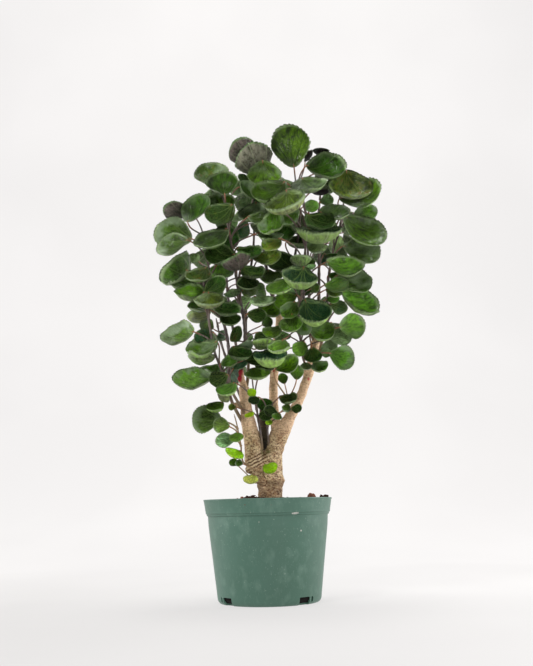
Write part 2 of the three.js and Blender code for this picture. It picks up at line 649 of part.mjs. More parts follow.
// A leaf on a stem's far side, hidden behind the leaves in front.
function placeFar(stem, number) {
  for (let attempt = 0; attempt < 40; attempt += 1) {
    const index = Math.floor(random(0.4, 1) * (stem.points.length - 1));
    const width = random(34, 62);
    const round = number * GOLDEN_ANGLE + random(-0.6, 0.6);
    const outward = new THREE.Vector3(Math.cos(round), Math.abs(Math.sin(round)) * 1.3 - 0.2, 0).normalize();
    const rise = random(0.1, 0.9);
    const length = random(0.9, 1.4) * width + 14;
    const middle = stem.points[index].point.clone().addScaledVector(outward, length * Math.cos(rise));
    middle.addScaledVector(UP, length * Math.sin(rise));
    const face = UP.clone().multiplyScalar(random(0.5, 1)).addScaledVector(outward, random(0.2, 0.9)).normalize();
    const leaf = makeLeaf(middle, face, width, CUP, { stem, index });
    const covered = leaf.margin.filter(hidden).length / leaf.margin.length;
    if (covered > 0.8 && isClear(leaf, false)) return keep(leaf);
  }
  return false;
}

// The blade as a thin shell with a margin of blunt teeth, fanned alike on both faces, with its stalk
// drawn out of the edge where the two meet.
function leafSolid(leaf, teeth) {
  const corners = [];
  const faces = [];
  const half = 0.5 * BLADE_THICKNESS;
  const count = 2 * teeth + 1;
  const root = [leaf.stalk / leaf.width, 2 * leaf.stalk / leaf.width];
  for (const level of [half, -half]) {
    for (let k = 0; k < count; k += 1) {
      const end = k === 0 || k === count - 1;
      const angle = end ? Math.PI * (1 - Math.sign(0.5 - k) * root[1]) : Math.PI * (1 - (2 * k) / (count - 1));
      const tooth = k % 2 ? 1.015 : 0.955;
      const far = 0.5 * leaf.width * marginAt(angle) * (end ? 1 : tooth);
      corners.push(onLeaf(leaf, far * Math.cos(angle), far * Math.sin(angle), cupAt(leaf, 1) * leaf.width + level));
    }
    corners.push(onLeaf(leaf, 0, 0, cupAt(leaf, 0) * leaf.width + level));
  }
  for (let k = 0; k < count; k += 1) {
    const next = (k + 1) % count;
    const [under, underNext] = [count + 1 + k, count + 1 + next];
    faces.push([count, next, k], [2 * count + 1, under, underNext]);
    if (next > 0) faces.push([k, underNext, under], [k, next, underNext]);
  }
  const line = leaf.line.slice(0, -1).reverse();
  const across = leaf.side.clone();
  let ring = [count - 1, 0, count + 1, 2 * count];
  line.slice(1).forEach(({ point, radius }, i) => {
    const along = line[i].point.clone().sub(line[Math.min(i + 2, line.length - 1)].point).normalize();
    across.addScaledVector(along, -across.dot(along)).normalize();
    const other = new THREE.Vector3().crossVectors(along, across);
    const next = [[-1, 1], [1, 1], [1, -1], [-1, -1]].map(([a, b]) => {
      const corner = point.clone().addScaledVector(across, 0.8 * a * radius);
      corners.push(corner.addScaledVector(other, 0.8 * b * radius));
      return corners.length - 1;
    });
    for (let k = 0; k < 4; k += 1) {
      const m = (k + 1) % 4;
      faces.push([ring[k], ring[m], next[m]], [ring[k], next[m], next[k]]);
    }
    ring = next;
  });
  faces.push([ring[0], ring[1], ring[2]], [ring[0], ring[2], ring[3]]);
  return solid(geometryOf(corners, faces));
}

function potSolid() {
  const band = POT_HEIGHT - RIM_BAND;
  const outer = [
    [0, 0], [FOOT_RADIUS - CORNER, 0], [FOOT_RADIUS - 0.5 * CORNER, 0.14 * CORNER],
    [FOOT_RADIUS - 0.14 * CORNER, 0.5 * CORNER], [FOOT_RADIUS, CORNER],
    [NECK_RADIUS, band - 2], [LIP_RADIUS - 1, band - 1.5], [LIP_RADIUS, band],
    [RIM_RADIUS - 0.5, POT_HEIGHT - 1.5], [RIM_RADIUS, POT_HEIGHT],
  ];
  const inner = [
    [RIM_RADIUS - WALL, POT_HEIGHT], [LIP_RADIUS - WALL, band + 2], [NECK_RADIUS - WALL, band - 2],
    [FOOT_RADIUS - WALL, CORNER], [FOOT_RADIUS - 0.8 * CORNER, WALL + 1], [0, WALL + 1],
  ];
  const profile = [...outer, ...inner].map(([r, z]) => new THREE.Vector2(r, z));
  const shell = new THREE.LatheGeometry(profile, POT_SIDES).rotateX(Math.PI / 2);
  let pot = solid(shell);
  for (const group of DRAIN_GROUPS) {
    for (const [turn, width, height] of [[0, 14, 7], [8.5, 4, 6]]) {
      const box = new THREE.BoxGeometry(width, 16, height);
      box.translate(0, -(FOOT_RADIUS - 2), DRAIN_HEIGHT);
      box.rotateZ(THREE.MathUtils.degToRad(group + Math.sign(group) * turn));
      pot = pot.subtract(solid(box));
    }
  }
  return pot;
}

function soilSolid(plant) {
  const g = SOIL_GAP;
  const band = POT_HEIGHT - RIM_BAND;
  const profile = [
    [0, WALL + 1 + g], [FOOT_RADIUS - 0.8 * CORNER - 0.5, WALL + 1 + g], [FOOT_RADIUS - WALL - 0.6, CORNER + g],
    [NECK_RADIUS - WALL - 0.6, band - 2], [LIP_RADIUS - WALL - 0.8, band + 2.5], [98.5, 149.5],
    [82, 156], [58, 161], [32, 163.5], [0, 164],
  ];
  const heap = new THREE.LatheGeometry(profile.map(([r, z]) => new THREE.Vector2(r, z)), 18);
  const pieces = [solid(heap.rotateX(Math.PI / 2))];
  for (let k = 0; k < CHIP_COUNT; k += 1) {
    const round = k * GOLDEN_ANGLE;
    const far = 32 + 52 * Math.sqrt((k + 0.5) / CHIP_COUNT);
    const chip = new THREE.BoxGeometry(random(9, 20), random(6, 12), random(3, 6));
    chip.rotateX(random(-0.3, 0.3)).rotateZ(random(0, Math.PI));
    const height = 163.5 - 7.5 * ((far - 32) / 50) ** 1.5 + 0.8;
    pieces.push(solid(chip.translate(far * Math.cos(round), far * Math.sin(round), height)));
  }
  return fuse(pieces).subtract(plant);
}

const limbs = (extra) =>
  Object.entries(LIMBS).map(([name, path]) => tube(smooth(knotsOf(path), 1), LIMB_SIDES[name], extra));
const unplaced = LEAVES.filter((row) => !placeSeen(row)).length;
const spare = stems.flatMap((stem) => Array.from({ length: stem.far }, (_, k) => placeFar(stem, k)));
const wanted = { unplaced, spare: spare.filter((placed) => !placed).length };
if (unplaced > 0) throw new Error(`${wanted.unplaced} leaves find no clear place`);

const sprays = new Map();
for (const stem of stems) {
  const parts = sprays.get(stem.spray) ?? [];
  parts.push(tube(stem.line, STEM_SIDES));
  sprays.set(stem.spray, parts);
}
for (const leaf of leaves) {
  const teeth = leaf.seen ? Math.round(THREE.MathUtils.clamp(leaf.width / 13, 3, 4)) : 3;
  sprays.get(leaf.spray).push(leafSolid(leaf, teeth));
}

// Each spray's foot stands in a socket of the wood, a little wider than the stem.
let wood = fuse(limbs(0));
for (const stem of stems) {
  const foot = stem.line.slice(0, 3);
  const back = foot[0].point.clone().sub(foot[1].point).setLength(SOCKET_GAP);
  const opening = [{ point: foot[0].point.clone().add(back), radius: foot[0].radius }, ...foot];
  wood = wood.subtract(tube(opening, STEM_SIDES, 1.3 * SOCKET_GAP));
}
const bole = fuse(limbs(SOIL_GAP));

const group = new THREE.Group();
group.name = "fabian_aralia_bonsai";
group.add(mesh("pot", potSolid(), 0x55786a));
group.add(mesh("soil", soilSolid(bole), 0x4b342c));
group.add(mesh("trunk", wood, 0xa5876a));
for (const [name, parts] of sprays) group.add(mesh(`leafy_stem_${name}`, fuse(parts), 0x3f6b22));
export default group;
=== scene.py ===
import json
import math

import bmesh
import bpy
import numpy as np
from bpy.props import FloatProperty, FloatVectorProperty, IntProperty, PointerProperty
from mathutils import Matrix, Vector, noise

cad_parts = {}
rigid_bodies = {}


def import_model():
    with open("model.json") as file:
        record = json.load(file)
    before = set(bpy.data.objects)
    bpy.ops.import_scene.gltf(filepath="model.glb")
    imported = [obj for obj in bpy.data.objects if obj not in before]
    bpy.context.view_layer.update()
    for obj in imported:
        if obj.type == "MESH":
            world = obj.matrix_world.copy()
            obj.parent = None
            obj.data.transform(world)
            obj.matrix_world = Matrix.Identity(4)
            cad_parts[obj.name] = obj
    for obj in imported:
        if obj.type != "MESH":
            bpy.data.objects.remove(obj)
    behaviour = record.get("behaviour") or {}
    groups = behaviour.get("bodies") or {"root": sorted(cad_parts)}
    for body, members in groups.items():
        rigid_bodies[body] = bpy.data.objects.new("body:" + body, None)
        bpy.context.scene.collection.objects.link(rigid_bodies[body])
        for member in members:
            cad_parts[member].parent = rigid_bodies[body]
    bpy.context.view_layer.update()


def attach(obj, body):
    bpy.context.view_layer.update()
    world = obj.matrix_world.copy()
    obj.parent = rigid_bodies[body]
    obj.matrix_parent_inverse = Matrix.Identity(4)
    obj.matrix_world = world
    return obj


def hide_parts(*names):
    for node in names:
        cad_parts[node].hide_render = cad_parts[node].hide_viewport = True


bl_info = {
    "name": "Fabian Aralia Bonsai",
    "version": (1, 0, 0),
    "blender": (4, 5, 0),
    "location": "View3D > Sidebar > Bonsai",
    "description": "Builds a Fabian aralia bonsai in its nursery pot on a plain studio floor",
    "category": "Add Mesh",
}

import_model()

MM = 0.001

# The front view that the plant's places are read from, in pixels, millimetres and radians.
VIEW_SIZE = (533, 666)
VIEW_FOCUS = 870
EYE = np.array([4.5, -1429.0, 142.0])
VIEW_RAISE = math.radians(11.5)
VIEW_TURN = math.radians(-1.3)

# Pot and soil, in millimetres and degrees
POT_HEIGHT = 160
RIM_RADIUS = 103
RIM_BAND = 24
NECK_RADIUS = 96
LIP_RADIUS = 99.5
FOOT_RADIUS = 82
CORNER = 8
WALL = 1.8
DRAIN_GROUPS = (-52, 41, 139, 232)
DRAIN_TOP = 12
DRAIN_DEPTH = 16
SOIL_RADIUS = 98.5
SOIL_MIDDLE = 160.5
SOIL_EDGE = 149.5

# Plant, in millimetres
STALK_RADIUS = 1.35
CROWN_DEPTH = 155
CROWN_HALF_WIDTH = 205
CROWN_MIDDLE_X = 18

# A stalk ends this far out in its blade, a rib droops by this part, and a cup crosses the blade's
# plane where the square of the way out is this.
STALK_END = 0.86
DROOP = 0.12
CUP_PLANE = 0.85

# Room round a blade, between stalks and over the pot, what it costs to share a place on a stem, and
# how far off another leaf may stand to matter.
CLEARANCE = 2.4
STALK_GAP = 2
RIM_GAP = 8
CROWDING = 10
NEIGHBOURHOOD = 260

# Moves of a leaf along its sight line, tried in turn, and the spacing of points along lines.
SHIFTS = (0, -8, 8, -16, 16, -24, 24, -32, 32, -40, 40, -50, 50, -60, 60, 75, 90)
LINE_STEP = 4
MARGIN_STEP = 4.5

# Leaves on the far side: the seed of their draws, the tries for each, how much of one has to be hidden
# from the front, and how they turn round their stem.
SEED = 20117
TRIES = 40
HIDDEN_PART = 0.8
GOLDEN_ANGLE = math.radians(137.5)

# Woody limbs: (u, v, depth, radius) along each, where u and v are pixels of the front view.
LIMBS = {
    "bole": [
        (269, 566, 0, 8), (269, 540, 0, 15), (269.5, 515, 0, 19), (270, 497, 0, 19.5), (271, 486, 0, 19),
        (271.5, 481, 0, 20.6), (271.3, 475, 0, 18.8), (271.5, 464, 0, 18.2), (272.8, 452, 0, 15.8),
        (277, 440, 0, 15.6), (280.5, 431, 0, 15), (284, 424, -1, 9),
    ],
    "left": [
        (270, 478, 0, 14), (259, 468, -2, 16.5), (255, 460, -4, 16.8), (254, 450, -6, 15.2),
        (252.5, 440, -7, 14), (250, 430, -8, 12.8), (248, 420, -8, 11.5), (246.3, 410, -8, 9.8),
        (245, 400, -8, 8.7), (244, 387, -8, 8.6),
    ],
    "middle": [
        (277, 444, 2, 11), (277, 432, 6, 10), (275.5, 421, 8, 8), (274.5, 410, 10, 7),
        (273.3, 390, 12, 7.3), (274.6, 370, 12, 7.2), (277, 345, 12, 7), (279, 325, 12, 6.3),
        (279.5, 313, 12, 6),
    ],
    "right": [
        (279, 440, -2, 13), (285, 427, -3, 11.5), (289.3, 418, -4, 9.5), (294.4, 409, -5, 8.2),
        (299.2, 400, -5, 7.6), (303.2, 390, -6, 7.5), (307.2, 378, -6, 7.7), (310.8, 366, -6, 7.7),
        (313.5, 352, -6, 7.6), (316.5, 338, -6, 7.4),
    ],
}

# Stems: the spray that each belongs to, its radius at foot and tip, how many leaves it bears on its
# far side, and its path as (u, v, depth).
STEMS = [
    ("left_outer", 3.8, 2.2, 2, [
        (246, 428, -4), (238, 414, -14), (232, 402, -18), (229, 388, -22), (229, 360, -24),
        (227, 336, -24), (220, 312, -26), (212, 288, -28), (208, 262, -28), (205, 240, -26),
    ]),
    ("left_low", 3.3, 1.9, 1, [
        (246, 416, -12), (239, 404, -28), (230, 388, -36), (221, 368, -42), (214, 350, -46),
        (210, 328, -48), (206, 300, -46), (203, 278, -42),
    ]),
    ("left_top", 4.2, 2.2, 2, [
        (244.5, 393, -7), (242.5, 380, -9), (243, 360, -14), (245, 340, -20), (244, 320, -28),
        (240, 300, -36), (236, 275, -44), (232, 250, -50), (228, 225, -52), (226, 210, -52),
    ]),
    ("left_top", 3.8, 2.2, 2, [
        (245.5, 393, -7), (248, 376, 0), (248, 355, 10), (246, 335, 16), (246, 310, 18), (249, 280, 16),
        (253, 252, 12), (254, 228, 8), (252, 208, 4),
    ]),
    ("middle", 3.6, 2.1, 2, [
        (279.5, 321, 12), (274, 302, 4), (269, 284, -2), (266, 262, -10), (264, 240, -18),
        (264, 215, -24), (266, 198, -26),
    ]),
    ("middle", 3.7, 2.1, 3, [
        (280, 321, 12), (286, 300, 6), (291, 275, 0), (296, 250, -6), (299, 228, -12), (299, 208, -16),
        (297, 194, -18),
    ]),
    ("right_top", 3.4, 2, 2, [
        (315.5, 345, -6), (309, 328, -18), (304, 305, -30), (303, 280, -40), (305, 255, -46),
        (306, 230, -50), (306, 212, -52),
    ]),
    ("right_top", 3.9, 2.1, 2, [
        (316, 345, -6), (318, 322, 0), (319, 295, 2), (319, 268, 4), (319, 245, 4), (318, 222, 2),
        (320, 200, -2),
    ]),
    ("right_outer", 3.5, 2, 3, [
        (312, 363, -4), (319, 352, 3), (324, 332, 4), (327, 303, 6), (329, 275, 12), (333, 252, 14),
        (339, 232, 14), (343, 214, 12),
    ]),
    ("right_low", 2.6, 1.5, 0, [
        (309, 371, -11), (305, 364, -20), (302, 352, -28), (300, 336, -34), (300, 318, -38),
        (301, 300, -40),
    ]),
    ("left_top", 3.8, 2.2, 5, [
        (245, 393, -6), (242, 374, 20), (235, 340, 54), (229, 305, 74), (226, 270, 86), (225, 238, 90),
        (227, 212, 88),
    ]),
    ("middle", 3.8, 2.2, 5, [
        (279.8, 321, 13), (275, 302, 38), (267, 272, 66), (263, 242, 84), (263, 212, 92), (266, 190, 92),
    ]),
    ("right_top", 3.8, 2.2, 5, [
        (315.8, 345, -5), (312, 325, 26), (309, 295, 54), (308, 262, 74), (308, 230, 86), (309, 204, 90),
    ]),
    ("back_low_left", 3.2, 2, 4, [
        (247, 412, -2), (240, 396, 26), (230, 370, 52), (222, 345, 70), (216, 318, 80),
    ]),
    ("back_low_right", 3.2, 2, 5, [
        (305, 380, -4), (309, 371, 12), (316, 353, 28), (325, 330, 44), (331, 305, 60), (335, 280, 68),
    ]),
    ("sprout_left", 1.9, 1.2, 0, [
        (252, 466, -14), (244, 463, -18), (241.5, 455, -18), (241, 446, -17), (239, 436, -16),
        (237, 425, -15), (234, 414, -15),
    ]),
    ("sprout_base", 1.6, 1.1, 0, [(264, 485, -14), (257, 483, -19), (254, 481, -25)]),
    ("sprout_front", 1.6, 1.1, 0, [(266, 478, -14), (264, 476, -24), (264, 474, -32)]),
    ("sprout_fork", 3.2, 1.8, 0, [
        (262, 449, -12), (261, 437, -16), (259, 424, -20), (257, 411, -22), (255, 403, -24),
    ]),
    ("sprout_heart", 2.6, 1.5, 0, [(270, 450, -10), (268, 436, -14), (267.5, 424, -18), (268, 414, -20)]),
    ("sprout_right", 1.7, 1.1, 0, [(293, 412, -9), (290, 408, -17), (289, 404, -20)]),
]

# Leaves seen from the front: (u, v, width in pixels, lean, tilt, out, tone, form).
# lean is the way the upper face leans in the view, anticlockwise from the right, and tilt is how far
# it leans from facing the eye, both in degrees: past 90 the underside shows. out is how far the leaf
# stands towards the eye, from 0 in the middle of the crown to 1 on its front. form is how deep the
# blade is cupped, and is CUP where none is given.
FLAT = 0.07
CUP = 0.16
BOWL = 0.27
LEAVES = [
    # crown, top
    (290.5, 145.5, 42, 90, 10, 0.45, "green", FLAT), (243.5, 152.5, 32, 120, 154, 0.1, "purple"),
    (254.5, 160.5, 40, 110, 148, 0.32, "grey"), (212.5, 174.5, 36, 88, 46, 0.35, "green"),
    (222.5, 182.5, 33, 96, 46, 0.55, "deep"), (264.5, 173.5, 37, 92, 48, 0.6, "green"),
    (269.5, 190, 39, 93, 57, 0.8, "deep"), (251, 190, 28, 50, 62, 0.4, "deep"),
    (244, 203, 11, 90, 25, 0.2, "milky", FLAT), (308, 155.5, 15, 145, 70, 0.1, "plum", FLAT),
    (321, 151, 17, 90, 70, 0.05, "plum"), (326.5, 165, 40, 83, 50, 0.5, "deep"),
    (308.5, 183.5, 38, 97, 71, 0.7, "deep"), (285, 199.5, 45, 110, 70, 0.85, "olive"),
    (320, 190, 20, 90, 98, 0.35, "plum"), (351, 184.5, 48, 83, 57, 0.6, "olive"),
    (360.5, 193, 42, 110, 43, 0.35, "green"), (366, 212.5, 23, 80, 34, 0.1, "green", FLAT),
    (311, 206, 16, 90, 32, 0.3, "pale", FLAT), (327, 200, 14, 90, 25, 0.2, "milky", FLAT),
    (335, 211, 31, 85, 62, 0.5, "deep"), (246, 180, 18, 55, 62, 0.2, "dark", FLAT),
    # crown, left shoulder
    (221, 203, 31, 95, 50, 0.42, "deep"), (220.5, 213, 34, 92, 50, 0.65, "dark"),
    (195, 207.5, 37, 128, 55, 0.5, "deep"), (176.5, 211, 27, 100, 136, 0.2, "purple"),
    (173, 234, 38, 120, 22, 0.3, "deep"), (172, 244, 33, 120, 52, 0.65, "deep"),
    (212, 238, 42, 106, 68, 0.7, "deep"), (226, 237, 30, 60, 35, 0.4, "dark", FLAT),
    (252, 211, 32, 108, 64, 0.45, "deep"), (261, 216.5, 28, 108, 62, 0.65, "deep"),
    (243, 230, 20, 165, 45, 0.2, "teal", FLAT), (249, 250.5, 27, 92, 64, 0.5, "dark"),
    (219, 253, 31, 95, 48, 0.3, "dark"), (258, 200, 13, 90, 50, 0.2, "night", FLAT),
    # crown, middle
    (271, 221.5, 31, 126, 52, 0.85, "green"), (288, 216, 27, 100, 48, 0.35, "green"),
    (319, 220, 34, 88, 61, 0.45, "dark"), (318.5, 230, 50, 90, 84, 0.75, "bowl", BOWL),
    (270, 235, 27, 90, 74, 0.6, "green"), (272, 244, 23, 95, 56, 0.75, "olive"),
    (267, 257, 28, 100, 58, 0.55, "olive"), (300.5, 260, 22, 90, 120, 0.5, "deep"),
    (300.5, 275.5, 39, 80, 66, 0.85, "bowl", BOWL), (310.5, 266.5, 11, 100, 60, 0.5, "milky", FLAT),
    (280, 286, 31, 103, 66, 0.8, "pale"), (236, 260.5, 31, 114, 112, 0.75, "purple"),
    (252, 271, 26, 92, 62, 0.4, "dark"), (247.5, 282.5, 23, 85, 56, 0.6, "night"),
    (233, 291, 20, 110, 96, 0.45, "dark"), (262, 300, 28, 93, 72, 0.6, "milky"),
    (285, 300, 25, 110, 46, 0.4, "green"), (290, 310, 22, 100, 38, 0.65, "green", FLAT),
    (297, 291, 17, 100, 45, 0.3, "milky", FLAT), (314.5, 310.5, 36, 90, 50, 0.8, "bowl", BOWL),
    (300, 240, 28, 90, 72, 0.3, "dark"), (283, 232, 26, 90, 58, 0.2, "dark"),
    (281, 262, 30, 90, 50, 0.3, "night"), (271, 276, 24, 100, 60, 0.3, "deep"),
    (249, 292, 17, 100, 58, 0.3, "olive", FLAT), (271, 308, 25, 95, 48, 0.3, "pale"),
    (305, 262, 22, 90, 60, 0.2, "green"), (304, 290, 20, 90, 55, 0.15, "dark"),
    (315, 288, 11, 165, 40, 0.5, "green", FLAT), (317, 247, 20, 90, 58, 0.2, "milky"),
    # crown, right shoulder
    (364.5, 229.5, 50, 64, 57, 0.55, "green"), (362.5, 249.5, 39, 70, 44, 0.35, "green"),
    (336, 244.5, 20, 140, 45, 0, "milky", FLAT), (345.5, 264.5, 37, 82, 56, 0.5, "pale"),
    (355.5, 280, 36, 72, 49, 0.3, "deep"), (337, 284.5, 25, 98, 50, 0.5, "pale", FLAT),
    (360.5, 299.5, 40, 63, 56, 0.45, "pale"), (339, 307, 17, 60, 22, 0.25, "teal", FLAT),
    (352.5, 326, 29, 32, 32, 0.4, "pale"), (341, 336, 23, 80, 28, 0.3, "milky", FLAT),
    (342.5, 357.5, 27, 40, 24, 0.35, "pale"), (322, 331, 27, 90, 46, 0.5, "pale", BOWL),
    (334, 292, 17, 80, 58, 0.5, "olive", FLAT), (337, 276, 17, 90, 58, 0.25, "pale"),
    (331, 257, 17, 90, 58, 0.3, "dark", FLAT), (322, 260, 13, 150, 40, 0.1, "teal", FLAT),
    (333, 299, 13, 90, 45, 0.15, "pale", FLAT), (329, 347, 19, 110, 48, 0.2, "milky"),
    (326, 353, 11, 95, 30, 0.3, "milky", FLAT),
    # crown, left flank
    (176, 268, 43, 139, 63, 0.45, "deep"), (194, 258.5, 14, 110, 40, 0.1, "milky", FLAT),
    (199, 274, 29, 97, 63, 0.55, "deep"), (184, 282.5, 29, 90, 70, 0.35, "green"),
    (190, 290.5, 32, 92, 64, 0.5, "green"), (215, 286, 26, 127, 44, 0.7, "dark"),
    (209.5, 298.5, 33, 94, 69, 0.75, "olive"), (199, 305.5, 23, 90, 65, 0.35, "deep"),
    (199, 315, 26, 100, 116, 0.3, "olive"), (226, 307.5, 30, 84, 63, 0.6, "dark"),
    (230, 318, 23, 90, 56, 0.4, "dark"), (228, 259, 26, 100, 60, 0.4, "dark"),
    (221, 272, 28, 95, 54, 0.3, "green"), (178, 332.5, 36, 120, 54, 0.35, "green"),
    (207, 325, 15, 100, 30, 0.05, "milky", FLAT), (204, 337, 21, 115, 38, 0.3, "teal"),
    (202, 347, 34, 99, 67, 0.6, "green"), (202, 357.5, 27, 92, 112, 0.4, "green"),
    (241, 304, 24, 120, 48, 0.35, "milky", FLAT), (222, 336, 13, 150, 40, 0.05, "teal", FLAT),
    # crown, skirt
    (193.5, 377, 41, 97, 58, 0.35, "pale"), (212.5, 368.5, 27, 93, 73, 0.2, "green"),
    (218.5, 379, 20, 90, 28, 0.5, "night", FLAT), (227, 388.5, 24, 100, 62, 0.6, "pale"),
    (229, 361, 18, 115, 48, 0.4, "pale"), (232, 375, 25, 175, 50, 0.3, "teal", FLAT),
    (236, 334.5, 18, 165, 48, 0.3, "dark", FLAT), (240, 352, 26, 90, 62, 0.5, "dark"),
    (257, 315, 19, 95, 36, 0.4, "dark", FLAT), (267, 321.5, 14, 20, 36, 0.3, "deep", FLAT),
    (262, 336, 17, 97, 56, 0.5, "night"), (271, 354.5, 37, 94, 74, 0.62, "bowl", BOWL),
    (279, 345.5, 25, 98, 65, 0.8, "pale"), (291, 323, 25, 105, 48, 0.7, "green"),
    (272.5, 331, 22, 92, 58, 0.55, "green"), (303.5, 328.5, 18, 90, 42, 0.4, "pale", FLAT),
    (287, 364, 25, 120, 44, 0.55, "green"), (296.5, 372, 16, 60, 26, 0.45, "green", FLAT),
    (283, 378.5, 11, 90, 12, 0.3, "green", FLAT), (300.5, 348.5, 18, 70, 32, 0.3, "pale", FLAT),
    (313, 355.5, 20, 100, 44, 0.5, "dark"), (319.5, 365.5, 19, 102, 57, 0.5, "green"),
    (257.5, 373, 27, 95, 68, 0.45, "pale"), (263, 343.5, 24, 92, 116, 0.4, "green"),
    (246, 346, 15, 120, 40, 0.3, "teal", FLAT), (240, 364, 17, 120, 50, 0.2, "teal", FLAT),
    (264, 366, 22, 85, 52, 0.3, "green"), (256, 359, 22, 90, 52, 0.2, "dark"),
    (249, 337.5, 9, 90, 20, 0.1, "milky", FLAT), (306, 366, 13, 90, 58, 0.3, "milky", FLAT),
    (282, 336, 18, 90, 58, 0.2, "milky", FLAT),
    # sprouts on the limbs and the bole
    (206, 418.5, 31, 130, 26, 0.15, "deep", FLAT), (215.5, 406, 20, 95, 65, 0.25, "green"),
    (221, 425, 17, 90, 18, 0.25, "olive", FLAT), (225, 440, 19, 100, 35, 0.2, "milky"),
    (236.5, 437, 16, 100, 56, 0.28, "pale"), (235, 453, 21, 70, 68, 0.3, "lime"),
    (233.5, 462.5, 9, 90, 15, 0.2, "green", FLAT), (239, 463, 8, 90, 20, 0.25, "green", FLAT),
    (251, 479, 17, 90, 60, 0.3, "yellow"), (270, 468, 16, 105, 46, 0.33, "lime"),
    (249.5, 414.5, 11, 110, 64, 0.3, "lime", FLAT), (252, 393, 10, 90, 12, 0.26, "lime", FLAT),
    (254, 400, 13, 90, 50, 0.3, "night", FLAT), (265, 405, 17, 90, 32, 0.22, "dark", FLAT),
    (271, 411, 15, 60, 40, 0.3, "night", FLAT), (277, 416, 11, 80, 50, 0.26, "green", FLAT),
    (269, 422, 8, 90, 40, 0.28, "lime", FLAT), (288, 398, 19, 105, 58, 0.28, "dark"),
    (286.5, 408, 10, 80, 32, 0.3, "green", FLAT), (296.5, 408.5, 11, 100, 33, 0.28, "dark", FLAT),
    (223.5, 397, 14, 60, 130, 0.2, "olive"), (232, 407, 8, 90, 30, 0.25, "olive", FLAT),
    (266, 415, 15, 90, 40, 0.18, "dark", FLAT),
]

# Directions of the front view
UP = np.array([0.0, 0.0, 1.0])
VIEW_CENTRE = np.array(VIEW_SIZE) / 2
VIEW_FORWARD = np.array([0.0, math.cos(VIEW_RAISE), math.sin(VIEW_RAISE)])
VIEW_RIGHT = np.array([
    math.cos(VIEW_TURN),
    -math.sin(VIEW_TURN) * math.sin(VIEW_RAISE),
    math.sin(VIEW_TURN) * math.cos(VIEW_RAISE),
])
VIEW_UP = np.cross(VIEW_RIGHT, VIEW_FORWARD)


def spot(u, v, y):
    """The point at depth y on the sight line through pixel (u, v) of the front view."""
    sight = VIEW_FORWARD * VIEW_FOCUS + VIEW_RIGHT * (u - VIEW_CENTRE[0]) + VIEW_UP * (VIEW_CENTRE[1] - v)
    return EYE + sight * ((y - EYE[1]) / sight[1])


def unit(vector):
    return vector / math.sqrt(vector @ vector)


class Draw:
    """Repeatable random numbers, drawn in the same order as in the solid model."""

    FACTOR = 16807
    RANGE = 2**31 - 1

    def __init__(self, seed):
        self.seed = seed

    def __call__(self, low=0.0, high=1.0):
        self.seed = (self.seed * self.FACTOR) % self.RANGE
        return low + ((high - low) * self.seed) / self.RANGE


def smooth(points, radii, steps):
    """Points with radii on a smooth curve through the given ones, with steps points to each span."""
    last = len(points) - 1
    line, sizes = [], []
    for i in range(last):
        knots = [points[min(max(k, 0), last)] for k in (i - 1, i, i + 1, i + 2)]
        for k in range(steps):
            t = k / steps
            weights = (
                ((2 - t) * t - 1) * t * 0.5,
                ((3 * t - 5) * t * t + 2) * 0.5,
                ((4 - 3 * t) * t + 1) * t * 0.5,
                (t - 1) * t * t * 0.5,
            )
            line.append(sum(knot * weight for knot, weight in zip(knots, weights)))
            sizes.append(radii[i] + (radii[i + 1] - radii[i]) * t)
    line.append(points[last])
    sizes.append(radii[last])
    return np.array(line), np.array(sizes)


def dense(points, radii, gap):
    """The same line with points no more than gap apart."""
    line, sizes = [points[0]], [radii[0]]
    for a, b, size_a, size_b in zip(points, points[1:], radii, radii[1:]):
        count = math.ceil(np.linalg.norm(b - a) / gap)
        for k in range(1, count + 1):
            line.append(a + (b - a) * (k / count))
            sizes.append(size_a + (size_b - size_a) * k / count)
    return np.array(line), np.array(sizes)


def margin_at(angle):
    """How far the margin lies from the middle of a blade, as a part of half its width."""
    back = np.maximum(0, -np.cos(angle))
    return 1 - 0.14 * (1 - (1 - back) ** 3) + 0.2 * back**10


class Stem:
    """A stem's line from foot to tip, and the places on it where stalks start."""

    def __init__(self, spray, foot_radius, tip_radius, far, path):
        self.spray, self.far = spray, far
        knots = np.array([spot(*place) for place in path])
        radii = foot_radius + (tip_radius - foot_radius) * np.arange(len(path)) / (len(path) - 1)
        self.points, self.sizes = dense(*smooth(knots, radii, 4), LINE_STEP)
        count = len(self.points)
        self.foot = math.floor(count * 0.25) if len(path) > 5 else math.floor(count * 0.6)
        self.starts = []

    def growth_at(self, index):
        ahead = self.points[min(index + 1, len(self.points) - 1)]
        return unit(ahead - self.points[max(index - 1, 0)])


